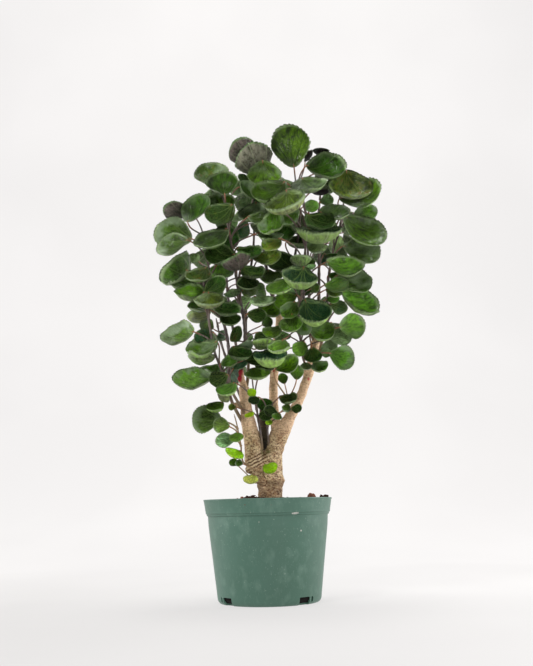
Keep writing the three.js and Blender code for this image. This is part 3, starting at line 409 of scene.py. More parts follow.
class Leaf:
    """A blade's place, its rib and side, its margin and its stalk, from its middle, its face and its stem."""

    def __init__(self, middle, face, width, form, stem, index):
        start = stem.points[index]
        self.middle, self.face, self.width, self.form = middle, face, width, form
        self.stem, self.index = stem, index
        reach = unit(middle - start)
        rib = reach - face * (reach @ face) - UP * DROOP + face * (DROOP * face[2])
        self.rib = unit(rib)
        self.side = np.cross(face, self.rib)
        self.base = self.at(-0.5 * width, 0, self.cup(1) * width)
        count = max(8, math.ceil(math.pi * width / MARGIN_STEP))
        angle = 2 * math.pi * np.arange(count) / count
        far = 0.5 * width * margin_at(angle)
        self.margin = (
            middle
            + np.outer(far * np.cos(angle), self.rib)
            + np.outer(far * np.sin(angle), self.side)
            + face * (self.cup(1) * width)
        )
        self.stalk = min(STALK_RADIUS, 0.7 + 0.02 * width)
        line = self.stalk_line((0, 0.45, 1), start, stem.growth_at(index))
        self.points, self.sizes = dense(line, [self.stalk] * 4, LINE_STEP)

    def cup(self, part):
        return self.form * (part * part - CUP_PLANE)

    def at(self, along, across, rise):
        return self.middle + self.rib * along + self.side * across + self.face * rise

    def stalk_line(self, parts, start, growth):
        """The stalk leaves with the stem's growth, comes up under the blade, and ends inside it."""
        reach = self.base - start
        length = math.sqrt(reach @ reach)
        leave = unit(reach * (0.6 / length) + growth * 0.6)
        arrive = unit(reach * (0.5 / length) + self.rib * 0.7 + self.face * 0.4)
        first = start + leave * (0.35 * length)
        second = self.base - arrive * (0.35 * length)
        line = [
            (1 - t) ** 3 * start
            + 3 * (1 - t) ** 2 * t * first
            + 3 * (1 - t) * t * t * second
            + t**3 * self.base
            for t in parts
        ]
        line.append(self.at(-0.5 * self.width * STALK_END, 0, self.cup(STALK_END) * self.width))
        return np.array(line)


def near_blades(leaves, points, radii):
    """For each leaf and each point, whether the point with its radius comes too near the blade."""
    middle = np.array([leaf.middle for leaf in leaves])
    face, rib, side = (np.array([getattr(leaf, name) for leaf in leaves]) for name in ("face", "rib", "side"))
    width = np.array([leaf.width for leaf in leaves])[:, None]
    form = np.array([leaf.form for leaf in leaves])[:, None]
    away = points[None] - middle[:, None]
    high, along, across = (np.einsum("lpk,lk->lp", away, axis) for axis in (face, rib, side))
    part = np.hypot(along, across) / (0.5 * width)
    cup = form * (np.minimum(part, 1) ** 2 - CUP_PLANE) * width
    return (
        (np.abs(high) <= 0.6 * width + radii)
        & (part <= 1 + (2 * radii + 2) / width)
        & (np.abs(high - cup) < radii + CLEARANCE)
    )


def too_near(points, radii, others, other_radii):
    """Whether two lines with their radii come closer than stalks may."""
    away = np.linalg.norm(points[:, None] - others[None], axis=2)
    return bool((away < radii[:, None] + other_radii[None] + STALK_GAP).any())


class Layout:
    """Places every leaf by the same rule as the solid model, so the two agree."""

    def __init__(self):
        self.stems = [Stem(*row) for row in STEMS]
        limbs = [self.limb(path) for path in LIMBS.values()]
        self.limb_points = np.concatenate([points for points, _ in limbs])
        self.limb_sizes = np.concatenate([sizes for _, sizes in limbs])
        self.leaves = []
        self.draw = Draw(SEED)
        for row in LEAVES:
            if not self.place_seen(*row):
                raise RuntimeError(f"no clear place for the leaf at {row[:2]}")
        for stem in self.stems:
            for number in range(stem.far):
                self.place_far(stem, number)

    @staticmethod
    def limb(path):
        knots = np.array([spot(u, v, y) for u, v, y, _ in path])
        return dense(*smooth(knots, [row[3] for row in path], 3), LINE_STEP)

    def starts(self, middle, width):
        """Places where a leaf's stalk may start, the best first, one for each stem."""
        found = []
        for stem in self.stems:
            index = np.arange(stem.foot, len(stem.points))
            reach = middle - stem.points[stem.foot :]
            far = np.linalg.norm(reach, axis=1)
            # A stalk that rises too little costs more, and so does one too short or too long for its blade.
            cost = far + 45 * np.maximum(0, 0.35 - reach[:, 2] / far)
            cost += 4 * np.maximum(0, 0.8 * width + 4 - far)
            cost += 2 * np.maximum(0, far - 0.5 * width - 50)
            cost += CROWDING * sum((np.abs(index - used) < 4).astype(float) for used in stem.starts)
            best = int(np.argmin(cost))
            found.append((cost[best], stem, stem.foot + best))
        return sorted(found, key=lambda item: item[0])[:4]

    def is_clear(self, leaf, others_only):
        """Whether a leaf keeps clear of everything, or only of what isn't in its own spray."""
        if (leaf.margin[:, 2] < POT_HEIGHT + RIM_GAP).any():
            return False
        return self.clears_wood(leaf, others_only) and self.clears_leaves(leaf, others_only)

    def clears_wood(self, leaf, others_only):
        """Whether it keeps clear of the stems and limbs."""
        for stem in self.stems:
            own = stem.spray == leaf.stem.spray
            if stem is leaf.stem or (own and others_only):
                continue
            if not own and too_near(leaf.points, leaf.sizes, stem.points, stem.sizes):
                return False
            if near_blades([leaf], stem.points, stem.sizes).any():
                return False
        if near_blades([leaf], self.limb_points, self.limb_sizes).any():
            return False
        return not too_near(leaf.points[3:], leaf.sizes[3:], self.limb_points, self.limb_sizes)

    def clears_leaves(self, leaf, others_only):
        """Whether it keeps clear of the leaves placed before it, and of their stalks."""
        others = [
            other
            for other in self.leaves
            if not (others_only and other.stem.spray == leaf.stem.spray)
            and np.linalg.norm(leaf.middle - other.middle) <= NEIGHBOURHOOD
        ]
        if not others:
            return True
        close = [
            other
            for other in others
            if np.linalg.norm(leaf.middle - other.middle) <= 0.6 * (leaf.width + other.width)
        ]
        if any(near_blades([leaf], other.margin, 0.0).any() for other in close):
            return False
        if close and near_blades(close, leaf.margin, 0.0).any():
            return False
        # The last two points of a stalk lie in its own blade.
        stalks = np.concatenate([other.points[:-2] for other in others])
        sizes = np.concatenate([other.sizes[:-2] for other in others])
        if near_blades([leaf], stalks, sizes).any():
            return False
        if near_blades(others, leaf.points[:-2], leaf.sizes[:-2]).any():
            return False
        strange = [other for other in others if other.stem.spray != leaf.stem.spray]
        if not strange:
            return True
        stalks = np.concatenate([other.points for other in strange])
        sizes = np.concatenate([other.sizes for other in strange])
        return not too_near(leaf.points, leaf.sizes, stalks, sizes)

    def keep(self, leaf, tone, seen=None):
        leaf.tone, leaf.seen = tone, seen
        self.leaves.append(leaf)
        leaf.stem.starts.append(leaf.index)
        return True

    def place_seen(self, u, v, size, lean, tilt, out, tone, form=CUP):
        """A leaf seen from the front, moved along its sight line until it is clear."""
        aside = (spot(u, v, 0)[0] - CROWN_MIDDLE_X) / CROWN_HALF_WIDTH
        depth = -out * CROWN_DEPTH * math.sqrt(max(0.15, 1 - aside * aside))
        turn, away = math.radians(lean), math.radians(tilt)
        for others_only in (False, True):
            for shift in SHIFTS:
                middle = spot(u, v, depth + shift)
                eye = unit(EYE - middle)
                right = unit(VIEW_RIGHT - eye * (VIEW_RIGHT @ eye))
                up = np.cross(eye, right)
                face = eye * math.cos(away) + (right * math.cos(turn) + up * math.sin(turn)) * math.sin(away)
                width = size * ((middle - EYE) @ VIEW_FORWARD) / VIEW_FOCUS
                for _, stem, index in self.starts(middle, width):
                    leaf = Leaf(middle, face, width, form, stem, index)
                    if self.is_clear(leaf, others_only):
                        flat = abs(math.cos(away)) + form * math.sin(away)
                        return self.keep(leaf, tone, (u, v, size / 2, turn, flat))
        return False

    def hidden(self, points):
        """The share of points that lie behind leaves seen from the front."""
        sight = points - EYE
        scale = VIEW_FOCUS / (sight @ VIEW_FORWARD)
        u = VIEW_CENTRE[0] + sight @ VIEW_RIGHT * scale
        v = VIEW_CENTRE[1] - sight @ VIEW_UP * scale
        covered = np.zeros(len(points), bool)
        for leaf in self.leaves:
            if leaf.seen:
                leaf_u, leaf_v, half, turn, flat = leaf.seen
                x, y = u - leaf_u, leaf_v - v
                low = x * math.cos(turn) + y * math.sin(turn)
                long = y * math.cos(turn) - x * math.sin(turn)
                covered |= (np.hypot(long, low / flat) < half) & (leaf.middle[1] <= points[:, 1])
        return covered.sum() / len(points)

    def place_far(self, stem, number):
        """A leaf on a stem's far side, hidden behind the leaves in front."""
        draw = self.draw
        for _ in range(TRIES):
            index = math.floor(draw(0.4, 1) * (len(stem.points) - 1))
            width = draw(34, 62)
            turn = number * GOLDEN_ANGLE + draw(-0.6, 0.6)
            outward = unit(np.array([math.cos(turn), abs(math.sin(turn)) * 1.3 - 0.2, 0]))
            rise = draw(0.1, 0.9)
            length = draw(0.9, 1.4) * width + 14
            middle = stem.points[index] + outward * (length * math.cos(rise)) + UP * (length * math.sin(rise))
            face = unit(UP * draw(0.5, 1) + outward * draw(0.2, 0.9))
            leaf = Leaf(middle, face, width, CUP, stem, index)
            if self.hidden(leaf.margin) > HIDDEN_PART and self.is_clear(leaf, False):
                return self.keep(leaf, "hidden")
        return False


LAYOUT = Layout()

# What leaves of each tone are coloured above and below
TONES = {
    "green": ("#426806", "#688A32"),
    "deep": ("#2C4C04", "#4C682A"),
    # Painted shade: dark and night are leaves in shade deep in the crown.
    "dark": ("#183C0C", "#36562A"),
    "night": ("#041C06", "#1C3616"),
    "pale": ("#5F9028", "#8AAA5C"),
    # Painted reflection: milky is a whitish green, the wax reflecting its bright surroundings.
    "milky": ("#92B47C", "#A2B88E"),
    "olive": ("#5F7A1C", "#6E7A40"),
    "lime": ("#A8DC00", "#B4D828"),
    "yellow": ("#DCE064", "#D4DC70"),
    # Painted shade: a bowl's inside and the teal leaves are darker, as in shade.
    "bowl": ("#1C4630", "#86A852"),
    "teal": ("#1F4E36", "#5D8064"),
    "purple": ("#3A5A26", "#362C2C"),
    "grey": ("#3F5F2C", "#5A574C"),
    "plum": ("#080405", "#160E11"),
    # Painted shade: leaves on the far side, dark in the crown's shade.
    "hidden": ("#183404", "#30501A"),
}

# Tones without painted sheen and painted margin highlight, tones too dark to shine, and how uneven the green
# is in some.
PLAIN = ("lime", "purple", "grey", "plum")
DIM = ("dark", "night", "plum", "hidden", "bowl", "purple", "grey")
MOTTLED = {"pale": 0.8, "milky": 0.8, "lime": 0.5, "yellow": 0.5, "bowl": 0.5}

# Marks on single leaves, by their pixel. Veins are pale, or dark below 0. sheen is painted sheen, wax is
# gloss, rim is the highlight painted on the margin, mottled is how uneven the green is, and spotted is brown
# spots.
MARKS = {
    (290.5, 145.5): {"veined": -0.75, "sheen": 0, "spotted": 0},
    (254.5, 160.5): {"veined": 0.35},
    (243.5, 152.5): {"veined": 0.15},
    (176.5, 211): {"veined": 0.1},
    (236, 260.5): {"veined": 0.1},
    (212.5, 174.5): {"veined": 0.5, "sheen": 0.9, "spotted": 1},
    (173, 234): {"veined": 0.5, "sheen": 0.9, "spotted": 0},
    (339, 307): {"veined": 0.9, "sheen": 0.5},
    (362.5, 249.5): {"sheen": 0.8},
    (366, 212.5): {"sheen": 0.8},
    (172, 244): {"sheen": 0.8},
    (251, 479): {"veined": -0.5, "sheen": 0},
    (270, 468): {"veined": 0.2},
    (235, 453): {"veined": 0.2},
    (178, 332.5): {"veined": 0.7},
    (271, 221.5): {"mottled": 0.9, "sheen": 0.8},
    (351, 184.5): {"veined": 0.12, "spotted": 0.7, "sheen": 0.1, "rim": 0.3, "wax": 0.5},
    (321, 151): {"veined": -0.2},
    (308, 155.5): {"veined": -0.2},
    (320, 190): {"veined": -0.2},
    (222.5, 182.5): {"veined": 0.15, "sheen": 0},
    (195, 207.5): {"veined": 0.15},
    (212, 238): {"veined": 0.15, "sheen": 0.2},
    (308.5, 183.5): {"veined": 0.15, "sheen": 0.1},
    (364.5, 229.5): {"veined": 0.1},
    (285, 199.5): {"veined": 0.2, "sheen": 0.1, "wax": 0.5},
    (326.5, 165): {"veined": 0.15, "sheen": 0.15},
    (193.5, 377): {"veined": 0.5, "sheen": 0.7},
    (264.5, 173.5): {"veined": 0.2, "sheen": 0.6, "bend_by": (0.16, 0.1, 0.01)},
    (269.5, 190): {"veined": 0.2, "sheen": 0, "spotted": 0},
    (318.5, 230): {"bend_by": (0.23, 0.08, 0.02)},
    (314.5, 310.5): {"bend_by": (0.4, 0.14, 0.02)},
    (300.5, 275.5): {"bend_by": (0.3, 0.1, 0.03)},
}


# Small functions for materials, meshes and pieces


def linear(code):
    """An sRGB hex colour in linear light."""
    values = [int(code[i : i + 2], 16) / 255 for i in (1, 3, 5)]
    return [v / 12.92 if v <= 0.04045 else ((v + 0.055) / 1.055) ** 2.4 for v in values]


def add(tree, kind, *values, inputs=None, **settings):
    """Add a node. Its settings are properties; its inputs, in order or by name, take a value or a link."""
    made = tree.nodes.new(kind)
    for name, value in settings.items():
        setattr(made, name, value)
    sockets = [socket for socket in made.inputs if socket.enabled]
    named = {socket.name: socket for socket in sockets}
    for socket, value in [*zip(sockets, values), *((named[key], v) for key, v in (inputs or {}).items())]:
        if isinstance(value, bpy.types.Node):
            value = next(out for out in value.outputs if out.enabled)
        if isinstance(value, bpy.types.NodeSocket):
            tree.links.new(value, socket)
        elif isinstance(value, str) and value.startswith("#"):
            socket.default_value = (*linear(value), 1)
        elif value is not None:
            socket.default_value = value
    return made


def new_material(name, **constants):
    """A material whose constants are set on its shader's own sockets, and a place to read patterns at."""
    material = bpy.data.materials.new(name)
    material.use_nodes = True
    tree = material.node_tree
    for key, value in constants.items():
        tree.nodes["Principled BSDF"].inputs[key.replace("_", " ")].default_value = value
    return material, tree, add(tree, "ShaderNodeTexCoord").outputs["Object"]


def finish(material, **nodes):
    """Join each node's first output to a socket of the material's shader."""
    tree = material.node_tree
    for key, node in nodes.items():
        out = next(socket for socket in node.outputs if socket.enabled)
        tree.links.new(out, tree.nodes["Principled BSDF"].inputs[key.replace("_", " ")])
    return material


def tint(tree, color, *layers):
    """Lay colours over a base, each as strong as its pattern, or as the pattern is within a range."""
    for pattern, layer, *span in layers:
        level = add(tree, "ShaderNodeMapRange", pattern, *span) if span else pattern
        color = add(tree, "ShaderNodeMix", level, color, layer, data_type="RGBA")
    return color


def new_object(name, data):
    made = bpy.data.objects.new(name, data)
    bpy.context.scene.collection.objects.link(made)
    return made


def new_mesh(name, corners, faces=(), edges=(), **values):
    """A mesh from corners in millimetres, with a number, or three, kept for each corner."""
    mesh = bpy.data.meshes.new(name)
    mesh.from_pydata([tuple(corner) for corner in (np.asarray(corners) * MM).tolist()], edges, faces)
    for key, rows in values.items():
        keep_values(mesh, key, rows)
    return mesh


def keep_values(mesh, name, rows, domain="POINT"):
    """Keep a number, or three, for each corner or face of a mesh."""
    rows = np.asarray(rows, dtype=np.float32)
    layer = mesh.attributes.new(name, "FLOAT" if rows.ndim == 1 else "FLOAT_VECTOR", domain)
    layer.data.foreach_set("value" if rows.ndim == 1 else "vector", rows.ravel())


def bake(piece):
    """Turn a piece with its modifiers into a plain mesh."""
    ready = piece.evaluated_get(bpy.context.evaluated_depsgraph_get())
    mesh, old = bpy.data.meshes.new_from_object(ready), piece.data
    piece.modifiers.clear()
    piece.data = mesh
    bpy.data.meshes.remove(old)
    mesh.name = piece.name


def new_group(name, **sockets):
    """A Geometry Nodes tree with named inputs, each given by its kind of socket and its default."""
    group = bpy.data.node_groups.new(name, "GeometryNodeTree")
    group.interface.new_socket("Geometry", in_out="INPUT", socket_type="NodeSocketGeometry")
    for label, (kind, default) in sockets.items():
        socket = group.interface.new_socket(label.replace("_", " "), in_out="INPUT", socket_type=kind)
        if default is not None:
            socket.default_value = default
    group.interface.new_socket("Geometry", in_out="OUTPUT", socket_type="NodeSocketGeometry")
    return group, group.nodes.new("NodeGroupInput").outputs


def end_group(group, geometry, material):
    """Every tree ends the same way: real geometry with its material."""
    real = add(group, "GeometryNodeRealizeInstances", geometry)
    done = add(group, "GeometryNodeSetMaterial", real, None, material)
    add(group, "NodeGroupOutput", done)


def grow(piece, group, **values):
    """Run a Geometry Nodes tree on a piece, and keep the result as a plain mesh."""
    modifier = piece.modifiers.new("Grow", "NODES")
    modifier.node_group = group
    for item in group.interface.items_tree:
        key = item.name.replace(" ", "_")
        if item.in_out == "INPUT" and key in values:
            modifier[item.identifier] = values[key]
    bake(piece)


def points_of(mesh):
    """The corners of a mesh in millimetres."""
    return np.array([vertex.co for vertex in mesh.vertices]) / MM


def hand_over(piece, slot, *nodes):
    """Tie a piece to the body and hide the solid nodes that it stands for; the slot for paint is not used."""
    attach(piece, "root")
    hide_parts(*nodes)


def revolve(profile, sides):
    """Corners and faces of a surface turned round the Z axis from pairs of a radius and a height."""
    corners, rows = [], []
    turn = 2 * math.pi * np.arange(sides) / sides
    for radius, height in profile:
        count = sides if radius > 0 else 1
        rows.append([len(corners) + k % count for k in range(sides)])
        corners += list(zip(radius * np.cos(turn[:count]), radius * np.sin(turn[:count]), [height] * count))
    faces = []
    for low, high in zip(rows, rows[1:]):
        for k in range(sides):
            following = (k + 1) % sides
            face = list(dict.fromkeys((low[k], low[following], high[following], high[k])))
            faces.append(face)
    return np.array(corners, float), faces


def rounded(profile, radius, steps):
    """A profile with its inner corners rounded off."""
    points = [np.array(point, float) for point in profile]
    line = [points[0]]
    for a, b, c in zip(points, points[1:], points[2:]):
        reach = min(radius, 0.45 * math.dist(a, b), 0.45 * math.dist(c, b))
        start, end = b + unit(a - b) * reach, b + unit(c - b) * reach
        for k in range(steps + 1):
            t = k / steps
            line.append((1 - t) ** 2 * start + 2 * (1 - t) * t * b + t * t * end)
    return line + [points[-1]]


def rough(points, size, shift=0.0):
    """Smooth noise from -1 to 1 at points in millimetres, whose lumps are about size across."""
    return np.array([noise.noise(Vector(point) / size + Vector((shift, 0, 0))) for point in points.tolist()])


def near(points, places, size):
    """How near points in millimetres are to any of the places, from 0 to 1."""
    level = np.zeros(len(points))
    for place in places:
        level = np.maximum(level, np.exp(-(((points - place) ** 2).sum(axis=1)) / size**2))
    return level


def near_spots(points, places, size):
    """The same for places given by pixel and depth."""
    return near(points, [spot(*place) for place in places], size)


# Pot

# Each group's slots: how far round from its middle, how wide and how high.
DRAIN_SLOTS = ((0, 21, 14), (11.5, 4, 8))

# Rubbed spots, by their pixel and radius in millimetres, and the middles of splashes of lime water.
RUBBED = [
    (292.5, 513.4, 1.5), (294.2, 513.2, 2.2), (296, 513, 2.4), (297.8, 512.8, 1.8), (300.8, 530.5, 2),
    (259, 522, 1.3),
]
SPLASHED = [(291, 553), (278, 574), (286, 535), (321, 503), (240, 522), (225, 530)]

# Rows of the view where the pot's foot and its band are, and its soil.
FOOT_ROW = 600
BAND_ROW = 514
SOIL_ROW = 500


def on_pot(u, v):
    """The point of the pot's front seen at pixel (u, v)."""
    # At a usual depth first, since how far aside a point lies hardly changes with its depth.
    aside = spot(u, v, -80)[0]
    wide = FOOT_RADIUS + (NECK_RADIUS - FOOT_RADIUS) * (FOOT_ROW - v) / (FOOT_ROW - BAND_ROW)
    wide += 2 * (v < BAND_ROW)
    return spot(u, v, -math.sqrt(wide**2 - aside**2))


def pot_material(settings):
    """Polypropylene, vacuum-formed: a satin skin with a dusty bloom and fine upright scratches."""
    material, tree, place = new_material("Vacuum-formed polypropylene", IOR=1.49)
    cloud = add(tree, "ShaderNodeTexNoise", place, 9, 3)
    # Bloom in soft smears 16 mm wide and 24 mm long.
    smear = add(tree, "ShaderNodeMapping", place, inputs={"Scale": (62, 62, 42)})
    dust = add(tree, "ShaderNodeTexNoise", smear, 1, 6)
    # Scratches 0.8 mm wide and 30 mm long, wider than real ones so that they show.
    upright = add(tree, "ShaderNodeMapping", place, inputs={"Scale": (1200, 1200, 30)})
    scratch = add(tree, "ShaderNodeTexNoise", upright, 1, 4)
    # Lime specks 2 mm wide, thickest where the pot was splashed.
    grain = add(tree, "ShaderNodeTexNoise", place, 340, 4)
    splashed = add(tree, "ShaderNodeAttribute", attribute_name="splashed").outputs["Fac"]
    speck = add(tree, "ShaderNodeMath", splashed, 0.05, grain, operation="MULTIPLY_ADD")
    color = tint(
        tree, (*settings.color, 1),
        (cloud, "#456858", 0.3, 0.7),
        (dust, "#86A394", 0.5, 0.8, 0, 0.35),
        (scratch, "#A9BDB0", 0.64, 0.74, 0, 0.25),
        (speck, "#A6BAAE", 0.66, 0.75, 0, 0.35),
    )
    # Rubbed spots, each 3 to 5 mm wide.
    for u, v, size in RUBBED:
        away = add(tree, "ShaderNodeVectorMath", place, tuple(on_pot(u, v) * MM), operation="DISTANCE")
        color = tint(tree, color, (away, "#D6D2CB", size * MM, 0.4 * size * MM, 0, 0.85))
    gloss = add(tree, "ShaderNodeMapRange", dust, 0.3, 0.8, 0.36, 0.6)
    dent = add(tree, "ShaderNodeBump", inputs={"Height": scratch, "Strength": 0.15, "Distance": 0.0003})
    return finish(material, Base_Color=color, Roughness=gloss, Normal=dent)


def drain_cutter():
    """Blocks that cut the drain slots, each group a wide slot with a short slit beside it."""
    tool = bmesh.new()
    for group in DRAIN_GROUPS:
        for turn, width, height in DRAIN_SLOTS:
            block = bmesh.ops.create_cube(tool, size=1)["verts"]
            middle = (0, -(FOOT_RADIUS - 2) * MM, (DRAIN_TOP - height / 2) * MM)
            bmesh.ops.scale(tool, verts=block, vec=(width * MM, DRAIN_DEPTH * MM, height * MM))
            bmesh.ops.translate(tool, verts=block, vec=middle)
            angle = math.radians(group + math.copysign(turn, group))
            bmesh.ops.rotate(tool, verts=block, cent=(0, 0, 0), matrix=Matrix.Rotation(angle, 3, "Z"))
    mesh = bpy.data.meshes.new("drain_cutter")
    tool.to_mesh(mesh)
    tool.free()
    cutter = new_object("drain_cutter", mesh)
    edge = cutter.modifiers.new("Edge", "BEVEL")
    edge.width = 1.2 * MM
    edge.segments = 3
    return cutter


def make_pot(settings):
    band = POT_HEIGHT - RIM_BAND
    slope, rise = NECK_RADIUS - FOOT_RADIUS, band - 11 - CORNER
    wall = [
        (0, 0), (FOOT_RADIUS - 0.5 * CORNER, 0),
        (FOOT_RADIUS - 0.3, 0.6 * CORNER), (FOOT_RADIUS + 0.5, CORNER + 4),
        *((FOOT_RADIUS + slope * t, CORNER + rise * t) for t in np.linspace(0.06, 0.94, 18)),
        (NECK_RADIUS, band - 3),
    ]
    rim = [
        (NECK_RADIUS + 0.2, band - 2), (LIP_RADIUS - 1.6, band - 1.4), (LIP_RADIUS - 1.5, band + 1),
        (LIP_RADIUS, band + 2), (LIP_RADIUS + 0.2, band + 5), (RIM_RADIUS - 0.8, POT_HEIGHT - 3),
        (RIM_RADIUS, POT_HEIGHT - 2), (RIM_RADIUS, POT_HEIGHT), (RIM_RADIUS - WALL, POT_HEIGHT),
        (RIM_RADIUS - WALL, POT_HEIGHT - 1),
    ]
    inside = [
        (LIP_RADIUS - WALL, band + 2), (NECK_RADIUS - WALL, band - 2), (FOOT_RADIUS - WALL, CORNER),
        (FOOT_RADIUS - 0.8 * CORNER, WALL + 1), (0, WALL + 1),
    ]
    corners, faces = revolve(rounded(wall, 5, 5) + rounded(rim, 0.6, 3) + inside, settings.sides)
    # From 60 mm up the wall is out of round, most of all at the rim.
    turn = np.arctan2(corners[:, 1], corners[:, 0])
    high = np.clip((corners[:, 2] - 60) / 100, 0, 1) ** 2
    out = settings.wave * high * (np.sin(2 * turn + 0.6) + 0.5 * np.sin(5 * turn + 2.1))
    corners[:, 0] += out * np.cos(turn)
    corners[:, 1] += out * np.sin(turn)
    pot = new_object("pot_wall", new_mesh("pot_wall", corners, faces))
    cutter = drain_cutter()
    cut = pot.modifiers.new("Drain", "BOOLEAN")
    cut.object = cutter
    cut.solver = "EXACT"
    bake(pot)
    bpy.data.objects.remove(cutter)
    splashed = near(points_of(pot.data), [on_pot(*place) for place in SPLASHED], 14)
    keep_values(pot.data, "splashed", splashed)
    pot.data.materials.clear()
    pot.data.materials.append(pot_material(settings))
    pot.data.shade_smooth()
    pot.data.set_sharp_from_angle(angle=math.radians(35))
    hand_over(pot, "pot", "pot")


# Soil


def soil_material():
    """Potting mix, peat with composted bark: moist dark crumbs about 2 mm wide, and dull split chips."""
    material, tree, place = new_material(
        "Peat and bark potting mix", Roughness=0.95, Specular_IOR_Level=0.25
    )
    crumbs = add(tree, "ShaderNodeTexVoronoi", place, 450)
    grain = add(tree, "ShaderNodeTexNoise", place, 700, 6)
    tone = add(tree, "ShaderNodeAttribute", attribute_name="chip_tone").outputs["Fac"]
    ground = tint(tree, "#46322A", (crumbs, "#1E1512", 0.2, 0.8))
    chip = tint(tree, "#33231C", (tone, "#9A6450"), (grain, "#3B261C", 0.35, 0.7, 0, 0.6))
    is_chip = add(tree, "ShaderNodeMath", tone, 0.02, operation="GREATER_THAN")
    # Painted shade: near black low in the pot, the dark seen through the drain slots.
    height = add(tree, "ShaderNodeSeparateXYZ", place).outputs[2]
    color = tint(tree, ground, (is_chip, chip), (height, "#0C0A09", 0.03, 0.02, 0, 0.95))
    relief = add(tree, "ShaderNodeBump", inputs={"Height": grain, "Strength": 0.6, "Distance": 0.001})
    return finish(material, Base_Color=color, Normal=relief)


def chip_shapes():
    """Split flakes of bark, unit wide, each with a few dozen faces."""
    draw = Draw(77)
    shapes = bpy.data.collections.new("bark_chips")
    for k in range(4):
        flake = bmesh.new()
        bmesh.ops.create_icosphere(flake, subdivisions=1, radius=1)
        for corner in flake.verts:
            x, y, z = corner.co
            corner.co = (x * draw(0.7, 1.15), y * draw(0.35, 0.75), z * draw(0.15, 0.38))
        mesh = bpy.data.meshes.new(f"bark_chip_{k}")
        flake.to_mesh(mesh)
        flake.free()
        shapes.objects.link(bpy.data.objects.new(mesh.name, mesh))
    return shapes


def chip_group():
    """Chips scattered over the soil's open face, each with its own turn, size and tone."""
    group, given = new_group(
        "Scattered chips",
        Chips=("NodeSocketCollection", None),
        Chip_size=("NodeSocketFloat", 0.004),
        Chips_per_area=("NodeSocketFloat", 16000),
        Seed=("NodeSocketInt", 4),
        Material=("NodeSocketMaterial", None),
    )
    open_face = add(group, "GeometryNodeInputNamedAttribute", "open_face", data_type="FLOAT")
    scatter = add(
        group, "GeometryNodeDistributePointsOnFaces",
        inputs={"Mesh": given["Geometry"], "Selection": open_face, "Density": given["Chips per area"],
                "Seed": given["Seed"]},
    )
    tone = add(group, "FunctionNodeRandomValue", 0.05, 1, None, given["Seed"])
    turn = add(group, "FunctionNodeRandomValue", (-0.5, -0.5, 0), (0.5, 0.5, 6.28), data_type="FLOAT_VECTOR")
    part = add(group, "FunctionNodeRandomValue", 0.35, 1.6)
    size = add(group, "ShaderNodeMath", part, given["Chip size"], operation="MULTIPLY")
    toned = add(group, "GeometryNodeStoreNamedAttribute", scatter, None, "chip_tone", tone)
    shapes = add(group, "GeometryNodeCollectionInfo", given["Chips"], True)
    chips = add(
        group, "GeometryNodeInstanceOnPoints",
        inputs={"Points": toned, "Instance": shapes, "Pick Instance": True, "Rotation": turn, "Scale": size},
    )
    both = add(group, "GeometryNodeJoinGeometry", chips)
    group.links.new(given["Geometry"], both.inputs[0])
    end_group(group, both, given["Material"])
    return group


# Clods that show over the rim: their pixel column, how far they rise, half their width, and their tone.
CLODS = [
    (242, 5, 4, 0.04), (247, 5.5, 4, 0.04), (252, 5, 4, 0.04), (256, 3, 4, 0.04),
    (310, 12.5, 5, 0.7), (314.5, 10.5, 4, 0.7), (321, 11.5, 3.5, 0.04), (325.5, 14, 4.5, 0.04),
    (329, 13.5, 3, 0.04),
]


def make_soil(settings):
    band = POT_HEIGHT - RIM_BAND
    under = [
        (0, WALL + 1.3),
        (FOOT_RADIUS - 0.8 * CORNER - 0.5, WALL + 1.3),
        (FOOT_RADIUS - WALL - 0.6, CORNER + 0.3),
        (NECK_RADIUS - WALL - 0.6, band - 2),
        (LIP_RADIUS - WALL - 0.8, band + 2.5),
    ]
    fall = SOIL_MIDDLE - SOIL_EDGE
    heap = [(SOIL_RADIUS * t, SOIL_MIDDLE - fall * t**2.6) for t in np.linspace(1, 0, 47)]
    corners, faces = revolve(under + heap, 132)
    top = corners[:, 2] > SOIL_EDGE - 0.5
    lumps = 1.6 * rough(corners[top], 17) + 1.1 * rough(corners[top], 5)
    far = np.hypot(corners[top, 0], corners[top, 1])
    corners[top, 2] += settings.lumps * lumps * np.clip((SOIL_RADIUS + 0.5 - far) / 8, 0, 1)
    tone = np.zeros(len(corners))
    for u, rise, size, shade in CLODS:
        mound = near(corners[top, :2], [spot(u, SOIL_ROW, -8)[:2]], size)
        corners[top, 2] += rise * mound
        tone[top] = np.where(mound > 0.35, shade, tone[top])
    mesh = new_mesh("potting_mix", corners, faces, chip_tone=tone)
    open_face = [face.center[2] > SOIL_EDGE * MM for face in mesh.polygons]
    keep_values(mesh, "open_face", open_face, "FACE")
    soil = new_object("potting_mix", mesh)
    shapes = chip_shapes()
    grow(
        soil, chip_group(), Chips=shapes, Material=soil_material(),
        Chip_size=settings.chip, Chips_per_area=settings.chips,
    )
    for shape in list(shapes.objects):
        bpy.data.objects.remove(shape)
    hand_over(soil, "soil", "soil")


# Trunk

# Short cut stubs on the limbs, with their ends: (u, v, depth, radius) along each.
STUBS = [
    [(245, 404, -8, 6), (238, 405, -13, 5), (233, 406, -17, 4.6), (231, 406.5, -18, 3)],
    [(244.5, 392, -8, 6), (243.5, 384, -12, 5), (240, 379, -20, 4.4), (238.5, 378.5, -23, 3.4)],
    [(244, 386, -10, 4.5), (242, 377, -16, 4.2), (240.5, 372, -22, 4.2), (240, 371, -24, 3)],
    [(307, 374, -6, 5), (305.5, 371, -12, 3.6), (305, 369.5, -15, 3)],
    [(266, 478, -3, 14), (256, 470, -6, 11), (249, 470, -9, 6.5), (246, 471, -10, 3.5)],
    [(267, 479, -2, 11), (262.5, 483, -3, 9.5), (264, 490, -3, 8)],
    # This stub fills the fork, and is painted dark as the shade there.
    [(270, 456, 6, 9), (266, 446, 10, 7.5), (264, 434, 12, 7), (263, 420, 13, 6), (262, 406, 13, 4)],
]
